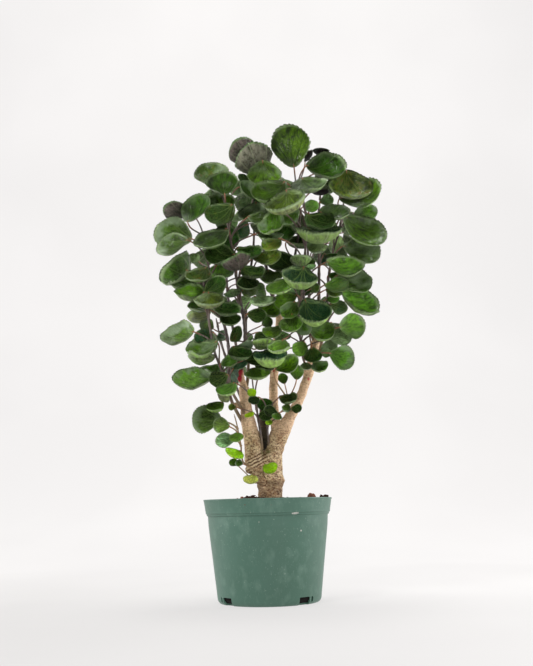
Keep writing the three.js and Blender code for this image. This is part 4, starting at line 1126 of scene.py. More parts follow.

# Places on the bark as (u, v, depth), and for the red paint on cuts a radius too.
# SHADED is where shade between the limbs is painted dark, the stub in the fork too.
SHADED = [(266, 446, 4), (264, 438, 5), (264, 430, 6), (263, 422, 7), (263, 414, 8), (262, 407, 9)]
PAINTED = [(240, 371, -24, 7), (239, 379, -24, 7.5), (274, 371, 5, 3), (309, 379, -14, 3.5)]
MOSSY = [(263, 453, -14), (268, 451, -14), (272, 450, -12)]
# HOLLOW: where the crotch is dented in and its shade painted near black.
HOLLOW = [(264, 447, -2), (265, 441, 0), (264, 434, 2)]
CREASED = [(250, 464, -18), (256, 461, -20), (261, 458, -18)]

# The bole's column in the view, and the rows where it has its collar of old bark, where its folds end
# and where young bark starts.
BOLE_COLUMN = 271
COLLAR_ROW = 481
FOLDS_ROW = 436
YOUNG_ROW = 440

# Spacing of folds round the limbs, of the slanted creases, and of points along a limb, in millimetres.
FOLD = 4.2
CREASE = 5.4
LIMB_STEP = 2.2


def bark_material(settings):
    """Living bark: thin tan cork with dark pores 1 to 3 mm wide, older brown cork near the soil, painted
    highlight on the ridges, and painted shade in the grooves and the crotch.
    """
    material, tree, place = new_material("Thin corky bark", Roughness=0.82, Specular_IOR_Level=0.3)
    value = {
        name: add(tree, "ShaderNodeAttribute", attribute_name=name).outputs["Fac"]
        for name in ("old", "pink", "paint", "moss", "hollow", "ridge")
    }
    patch = add(tree, "ShaderNodeTexNoise", place, 110, 5, 0.6)
    # Pores, wider than high, and weaker on the young pink bark.
    squat = add(tree, "ShaderNodeMapping", place, inputs={"Scale": (260, 260, 420)})
    fleck = add(tree, "ShaderNodeTexNoise", squat, 1, 6, 0.85, None, None, 0.6)
    young = add(tree, "ShaderNodeMapRange", value["pink"], 0, 1, 1, 0.42)
    pore = add(tree, "ShaderNodeMapRange", fleck, 0.5, 0.57)
    pore = add(tree, "ShaderNodeMath", pore, young, operation="MULTIPLY")
    # Old bark and moss lie in stains.
    stain = add(tree, "ShaderNodeMapRange", patch, 0.35, 0.6, 0.3, 1)
    old = add(tree, "ShaderNodeMath", stain, value["old"], operation="MULTIPLY")
    moss = add(tree, "ShaderNodeMath", value["moss"], stain, operation="MULTIPLY")
    color = tint(
        tree, (*settings.color, 1),
        (patch, "#E4CBA0", 0.38, 0.62),
        (value["pink"], "#EFC9A6"),
        (pore, "#664434"),
        (fleck, "#F0DCB4", 0.46, 0.36, 0, 0.85),
        (old, "#76543E"),
        # Painted light on the relief: ridge tops paler as a highlight, grooves and pits darker as shade.
        (value["ridge"], "#F0DEBE", 0.3, 1, 0, 0.5),
        (value["ridge"], "#4E3228", 0, -0.6, 0, 0.85),
        # Painted shade, near black in the crotch between the limbs.
        (value["hollow"], "#2C261A"),
        (moss, "#4E5524"),
        (value["paint"], "#B02C38"),
    )
    both = add(tree, "ShaderNodeMath", fleck, patch, operation="ADD")
    relief = add(tree, "ShaderNodeBump", inputs={"Height": both, "Strength": 0.7, "Distance": 0.0016})
    return finish(material, Base_Color=color, Normal=relief)


def tube_group():
    """Round tubes along edges, as thick as the radius kept at each point."""
    group, given = new_group(
        "Tubes along lines",
        Sides=("NodeSocketInt", 8),
        Material=("NodeSocketMaterial", None),
    )
    radius = add(group, "GeometryNodeInputNamedAttribute", "thick", data_type="FLOAT")
    line = add(group, "GeometryNodeMeshToCurve", given["Geometry"])
    ring = add(group, "GeometryNodeCurvePrimitiveCircle", given["Sides"], inputs={"Radius": 1})
    tube = add(
        group, "GeometryNodeCurveToMesh",
        inputs={"Curve": line, "Profile Curve": ring, "Scale": radius, "Fill Caps": True},
    )
    soft = add(group, "GeometryNodeSetShadeSmooth", tube)
    end_group(group, soft, given["Material"])
    return group


def line_mesh(name, lines):
    """Edges along lines, each given by its points and by the values kept at each point."""
    edges, count = [], 0
    for line, _ in lines:
        edges += [(count + k, count + k + 1) for k in range(len(line) - 1)]
        count += len(line)
    keys = lines[0][1].keys()
    values = {key: np.concatenate([kept[key] for _, kept in lines]) for key in keys}
    return new_mesh(name, np.concatenate([line for line, _ in lines]), edges=edges, **values)


def height_of(row):
    """How high the bole's middle is at a row of the view."""
    return spot(BOLE_COLUMN, row, 0)[2]


def bark_relief(points, along):
    """The bark's ridges at points in millimetres, its collar, the dent in the crotch with its painted shade,
    and how far they push it out.
    """
    collar = near(points[:, 2:], [[height_of(COLLAR_ROW)]], 2.6)
    hollow = near_spots(points, HOLLOW, size=7)
    creased = near_spots(points, CREASED, size=11)
    folds = np.sin(2 * math.pi * (along / FOLD + 0.9 * rough(points, 7)))
    bole = np.clip((height_of(FOLDS_ROW) - points[:, 2]) / 25, 0, 1)
    ridge = folds * (0.2 + 0.45 * bole) * (0.6 + 1.2 * rough(points, 7, 3.0))
    slanted = (points[:, 2] - 0.5 * points[:, 0]) / CREASE
    creases = np.sin(2 * math.pi * (slanted + 0.35 * rough(points, 9)))
    ridge = ridge * (1 - creased) + 1.5 * creased * creases
    plates = np.abs(rough(points, 5, 9.0))
    ridge += 0.6 - 3.0 * plates * (plates < 0.2) - 0.6 * (plates >= 0.2)
    lumps = 0.9 * rough(points, 10, 5.0) + 0.5 * rough(points, 3.5, 7.0)
    return ridge, collar, hollow, 0.45 * ridge + lumps + 1.2 * collar - 2 * hollow


def along_limbs(points, lines):
    """How far along its limb each point lies in millimetres, for the folds that run round it."""
    line = np.concatenate([line for line, _ in lines])
    run = np.concatenate([np.arange(len(line)) * LIMB_STEP for line, _ in lines])
    nearest = np.array([np.argmin(((line - point) ** 2).sum(axis=1)) for point in points])
    grown_way = np.gradient(line, axis=0)
    grown_way /= np.linalg.norm(grown_way, axis=1)[:, None]
    return ((points - line[nearest]) * grown_way[nearest]).sum(axis=1) + run[nearest]


def make_trunk(settings):
    lines = []
    for path in [*LIMBS.values(), *STUBS]:
        line, sizes = smooth([spot(u, v, y) for u, v, y, _ in path], [row[3] for row in path], 5)
        lines.append((line, {"thick": sizes * MM}))
    trunk = new_object("trunk_bark", line_mesh("trunk_bark", lines))
    material = bark_material(settings)
    grow(trunk, tube_group(), Sides=24, Material=material)
    skin = trunk.modifiers.new("Skin", "REMESH")
    skin.mode = "VOXEL"
    skin.voxel_size = settings.voxel
    soften = trunk.modifiers.new("Soften", "SMOOTH")
    soften.factor = 0.6
    soften.iterations = 6
    bake(trunk)
    mesh = trunk.data
    points = points_of(mesh)
    normals = np.array([vertex.normal for vertex in mesh.vertices])
    ridge, collar, hollow, push = bark_relief(points, along_limbs(points, lines))
    points += normals * (settings.relief * push)[:, None]
    mesh.vertices.foreach_set("co", (points * MM).ravel())
    mesh.update()
    old = np.clip((height_of(COLLAR_ROW) - points[:, 2]) / 5, 0, 1)
    paint = sum(near(points, [spot(u, v, y)], size) for u, v, y, size in PAINTED)
    for name, values in (
        ("ridge", np.clip(ridge, -1, 1)),
        ("old", old * 0.65 + 0.3 * collar),
        ("pink", np.clip((points[:, 2] - height_of(YOUNG_ROW)) / 30, 0, 0.8)),
        ("paint", np.clip(paint * 2 - 0.6, 0, 1)),
        ("moss", near_spots(points, MOSSY, size=5)),
        # Painted shade, dark in the crotch at HOLLOW and at the places in SHADED.
        ("hollow", np.clip(1.5 * hollow + 1.2 * near_spots(points, SHADED, size=12), 0, 0.95)),
    ):
        keep_values(mesh, name, values)
    mesh.shade_smooth()
    mesh.materials.clear()
    mesh.materials.append(material)
    hand_over(trunk, "bark", "trunk")


# Stems and leaf stalks


def stem_material(settings):
    """Green wood that ripens: near-black grey stems streaked with pale cork, and orange leaf stalks."""
    material, tree, place = new_material("Ripening green stem", Roughness=0.5)
    ripe = add(tree, "ShaderNodeAttribute", attribute_name="ripe").outputs["Fac"]
    woody = add(tree, "ShaderNodeAttribute", attribute_name="woody").outputs["Fac"]
    # Streaks 1 mm wide and 8 mm long that run up the stem.
    upright = add(tree, "ShaderNodeMapping", place, inputs={"Scale": (1000, 1000, 120)})
    streak = add(tree, "ShaderNodeTexNoise", upright, 1, 4)
    wood = tint(tree, "#332D2E", (streak, "#746A6B", 0.42, 0.62), (woody, "#A08662"))
    stalk = tint(tree, (*settings.stalk, 1), (streak, "#8A6A48", 0.42, 0.62))
    color = tint(tree, wood, (ripe, stalk))
    relief = add(tree, "ShaderNodeBump", inputs={"Height": streak, "Strength": 0.5, "Distance": 0.0006})
    return finish(material, Base_Color=color, Normal=relief)


# Sprays whose stems are woody all along
SPROUTS = ("sprout_left", "sprout_base", "sprout_front", "sprout_right")


def stem_line(stem, settings):
    """A stem's line. It swells where stalks start, thins at its tip, and is woody towards its foot."""
    index = np.arange(len(stem.points))
    joints = sum((np.exp(-((index - start) ** 2) / 1.2) for start in stem.starts), 0 * index)
    tip = np.minimum(1, 0.4 + (len(index) - 1 - index) * 0.3)
    thick = stem.sizes * settings.stem_part * tip * (1 + 0.3 * np.minimum(joints, 1))
    woody = np.clip(0.8 - 2.2 * index / len(index), 0.8 if stem.spray in SPROUTS else 0, 1)
    return stem.points, {"thick": thick * MM, "ripe": 0.12 * index / len(index), "woody": woody}


def stalk_line(leaf, settings):
    """A leaf stalk's line. It is thickest at its foot, thins into the blade, and ripens on its way."""
    parts = np.linspace(0, 1, 10)
    line = leaf.stalk_line(parts, leaf.stem.points[leaf.index], leaf.stem.growth_at(leaf.index))
    t = np.append(parts, 1.05)
    swell = 0.85 + 0.9 * np.exp(-t * 9) - 0.45 * np.exp(-(1.05 - t) * 14)
    thick = leaf.stalk * settings.stalk_part * swell
    thick[-1] *= 0.4
    ripe = np.clip((t - 0.55) / 0.45, 0.06, 0.85)
    woody = np.where(t < 0.9, 0.95, 0.5) if leaf.stem.spray in SPROUTS else 0.2 * (1 - np.minimum(t, 1))
    return line, {"thick": thick * MM, "ripe": ripe, "woody": woody}


def make_stems(settings):
    material, group = stem_material(settings), tube_group()
    for spray in dict.fromkeys(stem.spray for stem in LAYOUT.stems):
        lines = [stem_line(stem, settings) for stem in LAYOUT.stems if stem.spray == spray]
        lines += [stalk_line(leaf, settings) for leaf in LAYOUT.leaves if leaf.stem.spray == spray]
        stems = new_object(f"stems_{spray}", line_mesh(f"stems_{spray}", lines))
        grow(stems, group, Sides=8, Material=material)
        hand_over(stems, "leaf", f"leafy_stem_{spray}")


# Leaves

# How many shapes of blade there are, and the rings of points from a blade's middle to its margin.
BLADES = 4
RINGS = (0.3, 0.56, 0.78, 0.93)


def toothed_margin(teeth, draw):
    """Angles round a margin, from its base and back to it, and how far out uneven teeth bring it there."""
    ends = np.cumsum([draw(0.7, 1.3) for _ in range(teeth)])
    ends = np.insert(ends, 0, 0) / ends[-1] * 2 * math.pi + math.pi
    angle, notch = [], []
    for a, b in zip(ends, ends[1:]):
        deep = draw(0.025, 0.06)
        angle += [a, a + 0.3 * (b - a), a + 0.72 * (b - a)]
        notch += [1 - deep, 1.0, 1.012]
    angle, notch = np.array(angle), np.array(notch)
    # The margin has no teeth at the base, and elsewhere it is slightly uneven.
    calm = np.maximum(0, -np.cos(angle)) ** 6
    uneven = 0.04 * np.sin(2 * angle + draw(0, 6)) + 0.03 * np.sin(3 * angle + draw(0, 6)) - 0.01
    return angle, calm + (1 - calm) * (notch + uneven)


def blade_shape(number):
    """A round blade one unit wide, with rounded teeth; its ways to bend are kept for each corner."""
    angle, notch = toothed_margin(30 + 2 * number, Draw(900 + number))
    # One corner in the middle, the rings over, the margin, the rings under, and one corner below.
    count = len(angle)
    rings = [(ring, 1) for ring in RINGS] + [(1, 0)] + [(ring, -1) for ring in reversed(RINGS)]
    part = np.concatenate([[0], *(np.full(count, ring) for ring, _ in rings), [0]])
    level = np.concatenate([[1], *(np.full(count, side) for _, side in rings), [-1]])
    turn = np.concatenate([[0], *(angle for _ in rings), [0]])
    cut = np.concatenate([[1], *(notch if side == 0 else 0 * notch + 1 for _, side in rings), [1]])
    far = 0.5 * part * cut * margin_at(turn)
    corners = np.stack([far * np.cos(turn), far * np.sin(turn), 0 * far], axis=1)
    faces = [[0, 1 + k, 1 + (k + 1) % count] for k in range(count)]
    for ring in range(len(rings) - 1):
        low, high = 1 + ring * count, 1 + (ring + 1) * count
        for k in range(count):
            m = (k + 1) % count
            faces.append([low + k, high + k, high + m, low + m])
    last, low = len(corners) - 1, 1 + (len(rings) - 1) * count
    faces += [[last, low + (k + 1) % count, low + k] for k in range(count)]
    # Ways to bend: cupped, curled at the margin, and waved.
    wave = part**3 * (np.sin((2 + number % 3) * turn + 1.7 * number) + 0.4 * np.sin(7 * turn + number))
    bend = np.stack([part**2 - CUP_PLANE, part**6 - 1, wave], axis=1)
    under = (level < 0).astype(float)
    mesh = new_mesh(
        f"blade_{number}", corners / MM, faces, bend=bend, level=level, part=part, under=under
    )
    chart = mesh.uv_layers.new(name="UVMap")
    spots = corners[[loop.vertex_index for loop in mesh.loops], :2] + 0.5
    chart.data.foreach_set("uv", spots.astype(np.float32).ravel())
    return bpy.data.objects.new(mesh.name, mesh)


def leaf_group():
    """Blades on points, each turned to its face and rib, sized, cupped, curled at the margin and waved."""
    group, given = new_group(
        "Leaf blades",
        Blades=("NodeSocketCollection", None),
        Thickness=("NodeSocketFloat", 0.0007),
        Material=("NodeSocketMaterial", None),
    )
    kept = {
        name: add(group, "GeometryNodeInputNamedAttribute", name, data_type=kind)
        for name, kind in (
            ("face", "FLOAT_VECTOR"), ("rib", "FLOAT_VECTOR"), ("width", "FLOAT"), ("kind", "FLOAT"),
            ("bend", "FLOAT_VECTOR"), ("bend_by", "FLOAT_VECTOR"), ("level", "FLOAT"),
        )
    }
    turn = add(
        group, "FunctionNodeAxesToRotation", kept["face"], kept["rib"], primary_axis="Z", secondary_axis="X"
    )
    shapes = add(group, "GeometryNodeCollectionInfo", given["Blades"], True)
    blades = add(
        group, "GeometryNodeInstanceOnPoints",
        inputs={"Points": given["Geometry"], "Instance": shapes, "Pick Instance": True,
                "Instance Index": kept["kind"], "Rotation": turn, "Scale": kept["width"]},
    )
    real = add(group, "GeometryNodeRealizeInstances", blades)
    bent = add(group, "ShaderNodeVectorMath", kept["bend"], kept["bend_by"], operation="DOT_PRODUCT")
    half = add(group, "ShaderNodeMath", given["Thickness"], 0.5, operation="MULTIPLY")
    skin = add(group, "ShaderNodeMath", kept["level"], half, operation="MULTIPLY")
    rise = add(group, "ShaderNodeMath", bent, kept["width"], skin, operation="MULTIPLY_ADD")
    lift = add(group, "ShaderNodeVectorMath", kept["face"], inputs={"Scale": rise}, operation="SCALE")
    shaped = add(group, "GeometryNodeSetPosition", real, inputs={"Offset": lift})
    soft = add(group, "GeometryNodeSetShadeSmooth", shaped)
    end_group(group, soft, given["Material"])
    return group


# Veins, on a blade one unit wide: the point that the main ones spread from, just outside the base, half
# the angle between two main ones in radians, and half the distance between two side ones.
VEIN_ROOT = (-0.03, 0.5, 0)
VEIN_FAN = 0.22
VEIN_GAP = 0.055


def vein_pattern(tree, chart, place):
    """Veins from 0 to 1, and each point's angle and distance from where the veins spread."""
    reach = add(tree, "ShaderNodeVectorMath", chart, VEIN_ROOT, operation="SUBTRACT")
    far = add(tree, "ShaderNodeVectorMath", reach, operation="LENGTH")
    axes = add(tree, "ShaderNodeSeparateXYZ", reach)
    turn = add(tree, "ShaderNodeMath", axes.outputs[1], axes.outputs[0], operation="ARCTAN2")
    fan = add(tree, "ShaderNodeMath", turn, VEIN_FAN, operation="PINGPONG")
    off = add(tree, "ShaderNodeMath", fan, far, operation="MULTIPLY")
    main = add(tree, "ShaderNodeMapRange", off, 0.004, 0.018, 1, 0)
    # Side veins leave the main ones like a feather's, and a net 3 mm wide lies between them.
    feather = add(tree, "ShaderNodeMath", far, off, operation="SUBTRACT")
    feather = add(tree, "ShaderNodeMath", feather, VEIN_GAP, operation="PINGPONG")
    side = add(tree, "ShaderNodeMapRange", feather, 0, 0.014, 0.55, 0)
    vein = add(tree, "ShaderNodeMath", main, side, operation="MAXIMUM")
    cells = add(tree, "ShaderNodeTexVoronoi", place, 380, feature="DISTANCE_TO_EDGE")
    net = add(tree, "ShaderNodeMapRange", cells, 0.02, 0.16, 0.7, 0)
    return add(tree, "ShaderNodeMath", net, vein, operation="MAXIMUM"), turn, far


def leaf_material(settings):
    """Thick waxy leaves: a glossy cuticle over green flesh, with sunk veins, a highlight painted on the
    margin, painted sheen, and one side painted lit and the other shaded.
    """
    material, tree, place = new_material("Waxy leaf", Coat_Roughness=0.14)
    value = {
        name: add(tree, "ShaderNodeAttribute", attribute_name=name).outputs[output]
        for output, names in (
            ("Color", ("top_color", "back_color")),
            ("Fac", ("under", "part", "spotted", "veined", "sheen", "rim", "wax", "mottled", "lit")),
        )
        for name in names
    }
    chart = add(tree, "ShaderNodeUVMap", uv_map="UVMap")
    vein, turn, far = vein_pattern(tree, chart, place)
    # Streaks about 3 mm wide that run out from the base, broken by soft clouds.
    ray = add(tree, "ShaderNodeCombineXYZ", turn, far, value["sheen"])
    ray = add(tree, "ShaderNodeMapping", ray, inputs={"Scale": (9, 6, 40)})
    ray = add(tree, "ShaderNodeTexNoise", ray, 1, 4, 0.6)
    cloud = add(tree, "ShaderNodeTexNoise", place, 80, 5, 0.6)
    cloud = add(tree, "ShaderNodeMix", 0.6, cloud, ray)
    shade = add(tree, "ShaderNodeMapRange", cloud, 0.4, 0.6, 0.25, 2.1)
    # Painted light and shade: one side of each leaf, by its own angle, is painted darker as shade, the other
    # paler as lit.
    turned = add(tree, "ShaderNodeVectorRotate", chart, (0.5, 0.5, 0), value["lit"], rotation_type="Z_AXIS")
    across = add(tree, "ShaderNodeSeparateXYZ", turned)
    outer = add(tree, "ShaderNodeMapRange", across, 0.1, 0.9, 0.38, 1.6)
    shade = add(tree, "ShaderNodeMath", shade, outer, operation="MULTIPLY")
    shade = add(tree, "ShaderNodeMix", value["mottled"], 1.15, shade)
    # Veins show pale, or dark below 0, and the underside's always show a little.
    pale_vein = add(tree, "ShaderNodeMath", vein, value["veined"], operation="MULTIPLY")
    dark_vein = add(tree, "ShaderNodeMath", pale_vein, -1, operation="MULTIPLY")
    back_vein = add(tree, "ShaderNodeMath", value["veined"], 0.2)
    back_vein = add(tree, "ShaderNodeMath", vein, back_vein, operation="MULTIPLY")
    brown = add(tree, "ShaderNodeMapRange", cloud, 0.52, 0.6)
    brown = add(tree, "ShaderNodeMath", brown, value["spotted"], operation="MULTIPLY")
    # Painted sheen in soft pale patches 20 to 40 mm wide, most of it near the margin on the side painted lit.
    painted_sheen = add(tree, "ShaderNodeTexNoise", place, 34, 3)
    painted_sheen = add(tree, "ShaderNodeMath", value["part"], 0.3, painted_sheen, operation="MULTIPLY_ADD")
    painted_sheen = add(tree, "ShaderNodeMapRange", painted_sheen, 0.68, 0.86)
    painted_sheen = add(tree, "ShaderNodeMath", painted_sheen, outer, operation="MULTIPLY")
    painted_sheen = add(tree, "ShaderNodeMath", painted_sheen, value["sheen"], operation="MULTIPLY")
    # A highlight painted along the margin, strongest on the side painted lit.
    edge = add(tree, "ShaderNodeMapRange", value["part"], 0.88, 0.97)
    edge = add(tree, "ShaderNodeMath", edge, outer, operation="MULTIPLY")
    edge = add(tree, "ShaderNodeMath", edge, value["rim"], operation="MULTIPLY")
    top, below = (
        add(tree, "ShaderNodeMix", 1, value[name], shade, data_type="RGBA", blend_type="MULTIPLY")
        for name in ("top_color", "back_color")
    )
    top = tint(
        tree, top, (pale_vein, "#8FAF5C"), (dark_vein, "#1C2E0A"), (brown, "#74502C"), (painted_sheen, "#AEC79C")
    )
    below = tint(tree, below, (back_vein, "#A8B08C"))
    color = tint(tree, top, (value["under"], below), (edge, "#B4CC94"))
    gloss = add(tree, "ShaderNodeMapRange", value["under"], 0, 1, 0.32, 0.6)
    height = add(tree, "ShaderNodeMath", vein, -0.6, cloud, operation="MULTIPLY_ADD")
    relief = add(tree, "ShaderNodeBump", inputs={"Height": height, "Strength": 0.9, "Distance": 0.0025})
    shine = add(tree, "ShaderNodeMath", value["wax"], 0.22, 0.05, operation="MULTIPLY_ADD")
    coat = add(tree, "ShaderNodeMath", value["wax"], settings.gloss, operation="MULTIPLY")
    return finish(
        material, Base_Color=color, Roughness=gloss, Specular_IOR_Level=shine, Coat_Weight=coat,
        Normal=relief, Coat_Normal=relief,
    )


def tone_of(leaf, draw):
    """A leaf's colours over and under and its marks, with a slight difference from leaf to leaf."""
    top, back = TONES[leaf.tone]
    light = draw(0.75, 1.28)
    warm = np.array([draw(0.85, 1.2), 1, draw(0.8, 1.15)])
    plain, dim = leaf.tone in PLAIN, leaf.tone in DIM
    return {
        "top_color": np.array(linear(top)) * light * warm,
        "back_color": np.array(linear(back)) * light,
        "veined": draw(0.15, 0.6),
        # sheen is painted sheen, rim the highlight painted on the margin, and lit the angle of the side
        # painted lit.
        "sheen": 0 if plain or dim else max(0, draw(-0.2, 0.95)),
        "rim": 0.1 if plain else draw(0.2, 0.5) if dim else draw(0.3, 0.8),
        "mottled": MOTTLED.get(leaf.tone, 1),
        "wax": 0.15 if dim else draw(0.35, 1),
        "lit": draw(-1.7, 1.7),
        "spotted": max(0, draw(-4, 1)),
        **MARKS.get(leaf.seen and leaf.seen[:2], {}),
    }


def make_leaves(settings):
    blades = bpy.data.collections.new("blades")
    for number in range(BLADES):
        blades.objects.link(blade_shape(number))
    material, group = leaf_material(settings), leaf_group()
    draw = Draw(4242)
    rows = {}
    for leaf in LAYOUT.leaves:
        rows.setdefault(leaf.stem.spray, []).append({
            "place": leaf.middle,
            "face": leaf.face,
            "rib": leaf.rib,
            "width": leaf.width * MM,
            "kind": math.floor(draw(0, BLADES)),
            "bend_by": (leaf.form, draw(0.06, 0.16), draw(-0.05, 0.05)),
            **tone_of(leaf, draw),
        })
    for spray, leaves in rows.items():
        table = {key: np.array([row[key] for row in leaves]) for key in leaves[0]}
        foliage = new_object(f"leaves_{spray}", new_mesh(f"leaves_{spray}", table.pop("place"), **table))
        grow(foliage, group, Blades=blades, Material=material, Thickness=settings.thickness)
        hand_over(foliage, "leaf", f"leafy_stem_{spray}")
    for blade in list(blades.objects):
        bpy.data.objects.remove(blade)


# Stage


def backdrop_material(settings):
    """A frosted sheet that glows as painted light, so it stays bright and leaves only faint shadows, with
    painted shade and soft painted shadows on it.
    """
    material, tree, place = new_material(
        "Back-lit opal acrylic", Roughness=0.95, Specular_IOR_Level=0.1,
        Emission_Color=(*linear("#F6F4F4"), 1),
    )
    # Soft painted shadows: broad clouds where the sheet is darker and glows a little less.
    cloud = add(tree, "ShaderNodeTexNoise", place, 1.5, 2)
    color = tint(tree, (*settings.sheet, 1), (cloud, "#6A6967", 0.3, 0.7, 0, 0.3))
    # Painted shade: the glow is weaker on the floor, towards the front and most of all on its left.
    axes = add(tree, "ShaderNodeSeparateXYZ", place)
    floor = add(tree, "ShaderNodeMapRange", axes.outputs[1], 1.4, -0.2)
    painted_floor_shade = add(tree, "ShaderNodeMapRange", axes, -0.4, 0.3, -0.19, -0.05)
    glow = add(tree, "ShaderNodeMath", floor, painted_floor_shade, settings.glow, operation="MULTIPLY_ADD")
    uneven = add(tree, "ShaderNodeMapRange", cloud, 0.35, 0.6, 1.02, 0.98)
    glow = add(tree, "ShaderNodeMath", glow, uneven, operation="MULTIPLY")
    return finish(material, Base_Color=color, Emission_Strength=glow)


# Lamps: name, place and aim in metres, size in metres, and power in watts.
LAMPS = (
    ("key", (-1.0, -1.6, 2.0), (0, 0, 0.45), 0.45, 27),
    ("fill", (0.8, -2.2, 0.7), (0, 0, 0.3), 0.6, 13),
    ("top", (0, 0.2, 2.5), (0, 0, 0.4), 0.6, 24),
    ("left_panel", (-1.6, 0.2, 0.6), (0, 0, 0.3), 0.8, 14),
    ("right_panel", (1.6, 0.2, 0.6), (0, 0, 0.3), 0.8, 18),
    ("wash", (0, 1.0, 2.8), (0, 2.6, 1.0), 2.2, 34),
)


def place_camera():
    """Where the front view is seen from."""
    camera = bpy.data.cameras.new("front_view")
    camera.sensor_width = 36
    camera.lens = VIEW_FOCUS / VIEW_SIZE[1] * camera.sensor_width
    camera.clip_end = 50
    eye = new_object("front_view", camera)
    axes = Matrix((VIEW_RIGHT, VIEW_UP, -VIEW_FORWARD)).transposed()
    eye.matrix_world = Matrix.Translation(Vector(EYE * MM)) @ axes.to_4x4()
    bpy.context.scene.camera = eye


def lay_sheet(settings):
    """A backdrop that lies flat and rises behind the plant in one wide curve."""
    back, bend, columns = 900, 1300, 5
    curve = np.linspace(0.15, math.pi / 2, 16)
    sweep = [(-4200, 0), (back, 0)]
    sweep += [(back + bend * math.sin(angle), bend - bend * math.cos(angle)) for angle in curve]
    sweep += [(back + bend, 4500)]
    corners = [(x, y, z) for y, z in sweep for x in np.linspace(-4500, 4500, columns)]
    starts = [row * columns + k for row in range(len(sweep) - 1) for k in range(columns - 1)]
    faces = [[k, k + 1, k + columns + 1, k + columns] for k in starts]
    sheet = new_object("backdrop_sheet", new_mesh("backdrop_sheet", corners, faces))
    sheet.data.shade_smooth()
    sheet.data.materials.append(backdrop_material(settings))


def place_lamps(settings):
    """The lamps, and a faint light from all sides."""
    for name, place, aim, size, power in LAMPS:
        light = bpy.data.lights.new(name, "AREA")
        light.shape = "SQUARE"
        light.size = size
        light.energy = power * settings.light
        lamp = new_object(name, light)
        lamp.location = place
        lamp.rotation_euler = (Vector(aim) - lamp.location).to_track_quat("-Z", "Y").to_euler()
    world = bpy.data.worlds.new("studio")
    world.use_nodes = True
    world.node_tree.nodes["Background"].inputs["Color"].default_value = (*linear("#FAF8F6"), 1)
    world.node_tree.nodes["Background"].inputs["Strength"].default_value = settings.surround
    bpy.context.scene.world = world


def make_stage(settings):
    place_camera()
    lay_sheet(settings)
    place_lamps(settings)
    bpy.context.scene.view_settings.view_transform = "Standard"


# Settings, operators and panel


class StageSettings(bpy.types.PropertyGroup):
    sheet: FloatVectorProperty(
        name="Sheet", description="Colour of the backdrop", subtype="COLOR",
        min=0, max=1, default=linear("#6E6D6B"),
    )
    # The backdrop's own glow, painted light that keeps it bright and its shadows faint.
    glow: FloatProperty(name="Glow", description="Light that comes through the backdrop", default=0.8, min=0)
    light: FloatProperty(name="Lights", description="Strength of all the lamps together", default=1, min=0)
    surround: FloatProperty(
        name="Surround", description="Strength of the light from all sides",
        default=0.12, min=0,
    )


class PotSettings(bpy.types.PropertyGroup):
    color: FloatVectorProperty(
        name="Colour", description="Main colour of the plastic", subtype="COLOR",
        min=0, max=1, default=linear("#4D7162"),
    )
    sides: IntProperty(name="Sides", description="Facets round the pot", default=160, min=16, max=512)
    wave: FloatProperty(
        name="Wave", description="How far the rim is out of round, in mm",
        default=0.5, min=0, max=2,
    )


class SoilSettings(bpy.types.PropertyGroup):
    lumps: FloatProperty(
        name="Lumps", description="How lumpy the surface is, 1 being usual",
        default=1, min=0,
    )
    chip: FloatProperty(name="Chip", description="Half length of a usual chip", default=0.0036, unit="LENGTH")
    chips: FloatProperty(name="Chips", description="Chips in a square metre of soil", default=15000, min=0)


class TrunkSettings(bpy.types.PropertyGroup):
    color: FloatVectorProperty(
        name="Bark", description="Main colour of the bark", subtype="COLOR",
        min=0, max=1, default=linear("#B8936C"),
    )
    voxel: FloatProperty(
        name="Detail", description="Size of the facets of the bark",
        default=0.0013, unit="LENGTH",
    )
    relief: FloatProperty(
        name="Relief", description="Depth of the folds and pits, 1 being usual",
        default=1, min=0,
    )


class FoliageSettings(bpy.types.PropertyGroup):
    stalk: FloatVectorProperty(
        name="Stalks", description="Colour of the leaf stalks", subtype="COLOR",
        min=0, max=1, default=linear("#B0683F"),
    )
    stem_part: FloatProperty(
        name="Stem size", description="Thickness of the stems, 1 being usual",
        default=0.78,
    )
    stalk_part: FloatProperty(
        name="Stalk size", description="Thickness of the stalks, 1 being usual",
        default=1.1,
    )
    thickness: FloatProperty(
        name="Thickness", description="Thickness of a leaf",
        default=0.0007, unit="LENGTH",
    )
    gloss: FloatProperty(
        name="Wax", description="Shine of the wax on the leaves, 1 being usual",
        default=1, min=0, max=2,
    )


class BONSAI_OT_stage(bpy.types.Operator):
    """Add the camera, the backdrop and the lights"""

    bl_idname = "bonsai.stage"
    bl_label = "Stage"

    def execute(self, context):
        make_stage(context.scene.bonsai_stage)
        return {"FINISHED"}


class BONSAI_OT_pot(bpy.types.Operator):
    """Make the nursery pot"""

    bl_idname = "bonsai.pot"
    bl_label = "Pot"

    def execute(self, context):
        make_pot(context.scene.bonsai_pot)
        return {"FINISHED"}


class BONSAI_OT_soil(bpy.types.Operator):
    """Fill the pot with soil and bark chips"""

    bl_idname = "bonsai.soil"
    bl_label = "Soil"

    def execute(self, context):
        make_soil(context.scene.bonsai_soil)
        return {"FINISHED"}


class BONSAI_OT_trunk(bpy.types.Operator):
    """Grow the trunk with its limbs and stubs"""

    bl_idname = "bonsai.trunk"
    bl_label = "Trunk"

    def execute(self, context):
        make_trunk(context.scene.bonsai_trunk)
        return {"FINISHED"}


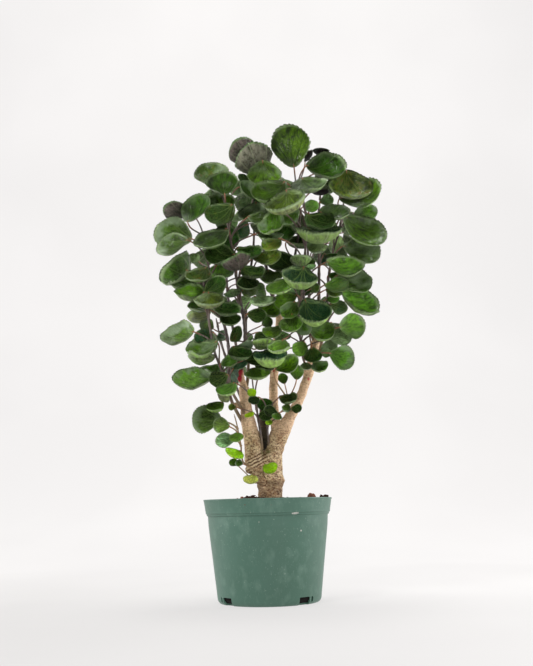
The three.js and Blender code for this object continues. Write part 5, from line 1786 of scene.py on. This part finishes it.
class BONSAI_OT_stems(bpy.types.Operator):
    """Grow the stems and leaf stalks of every spray"""

    bl_idname = "bonsai.stems"
    bl_label = "Stems"

    def execute(self, context):
        make_stems(context.scene.bonsai_foliage)
        return {"FINISHED"}


class BONSAI_OT_leaves(bpy.types.Operator):
    """Put a blade on every leaf stalk"""

    bl_idname = "bonsai.leaves"
    bl_label = "Leaves"

    def execute(self, context):
        make_leaves(context.scene.bonsai_foliage)
        return {"FINISHED"}


GROUPS = {
    "bonsai_stage": StageSettings,
    "bonsai_pot": PotSettings,
    "bonsai_soil": SoilSettings,
    "bonsai_trunk": TrunkSettings,
    "bonsai_foliage": FoliageSettings,
}
OPERATORS = (
    BONSAI_OT_stage, BONSAI_OT_pot, BONSAI_OT_soil, BONSAI_OT_trunk, BONSAI_OT_stems,
    BONSAI_OT_leaves,
)


class VIEW3D_PT_bonsai(bpy.types.Panel):
    """A button for each operator, and below them every setting"""

    bl_label = "Bonsai"
    bl_space_type = "VIEW_3D"
    bl_region_type = "UI"
    bl_category = "Bonsai"

    def draw(self, context):
        for operator in OPERATORS:
            self.layout.operator(operator.bl_idname)
        for name, settings in GROUPS.items():
            self.layout.label(text=settings.__name__.replace("Settings", ""))
            for key in settings.__annotations__:
                self.layout.prop(getattr(context.scene, name), key)


def register():
    for kind in (*GROUPS.values(), *OPERATORS, VIEW3D_PT_bonsai):
        bpy.utils.register_class(kind)
    for name, settings in GROUPS.items():
        setattr(bpy.types.Scene, name, PointerProperty(type=settings))


def unregister():
    for name in GROUPS:
        delattr(bpy.types.Scene, name)
    for kind in reversed((*GROUPS.values(), *OPERATORS, VIEW3D_PT_bonsai)):
        bpy.utils.unregister_class(kind)


def main():
    register()
    bpy.ops.bonsai.stage()
    bpy.ops.bonsai.pot()
    bpy.ops.bonsai.soil()
    bpy.ops.bonsai.trunk()
    bpy.ops.bonsai.stems()
    bpy.ops.bonsai.leaves()
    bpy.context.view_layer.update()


if __name__ == "__main__":
    main()
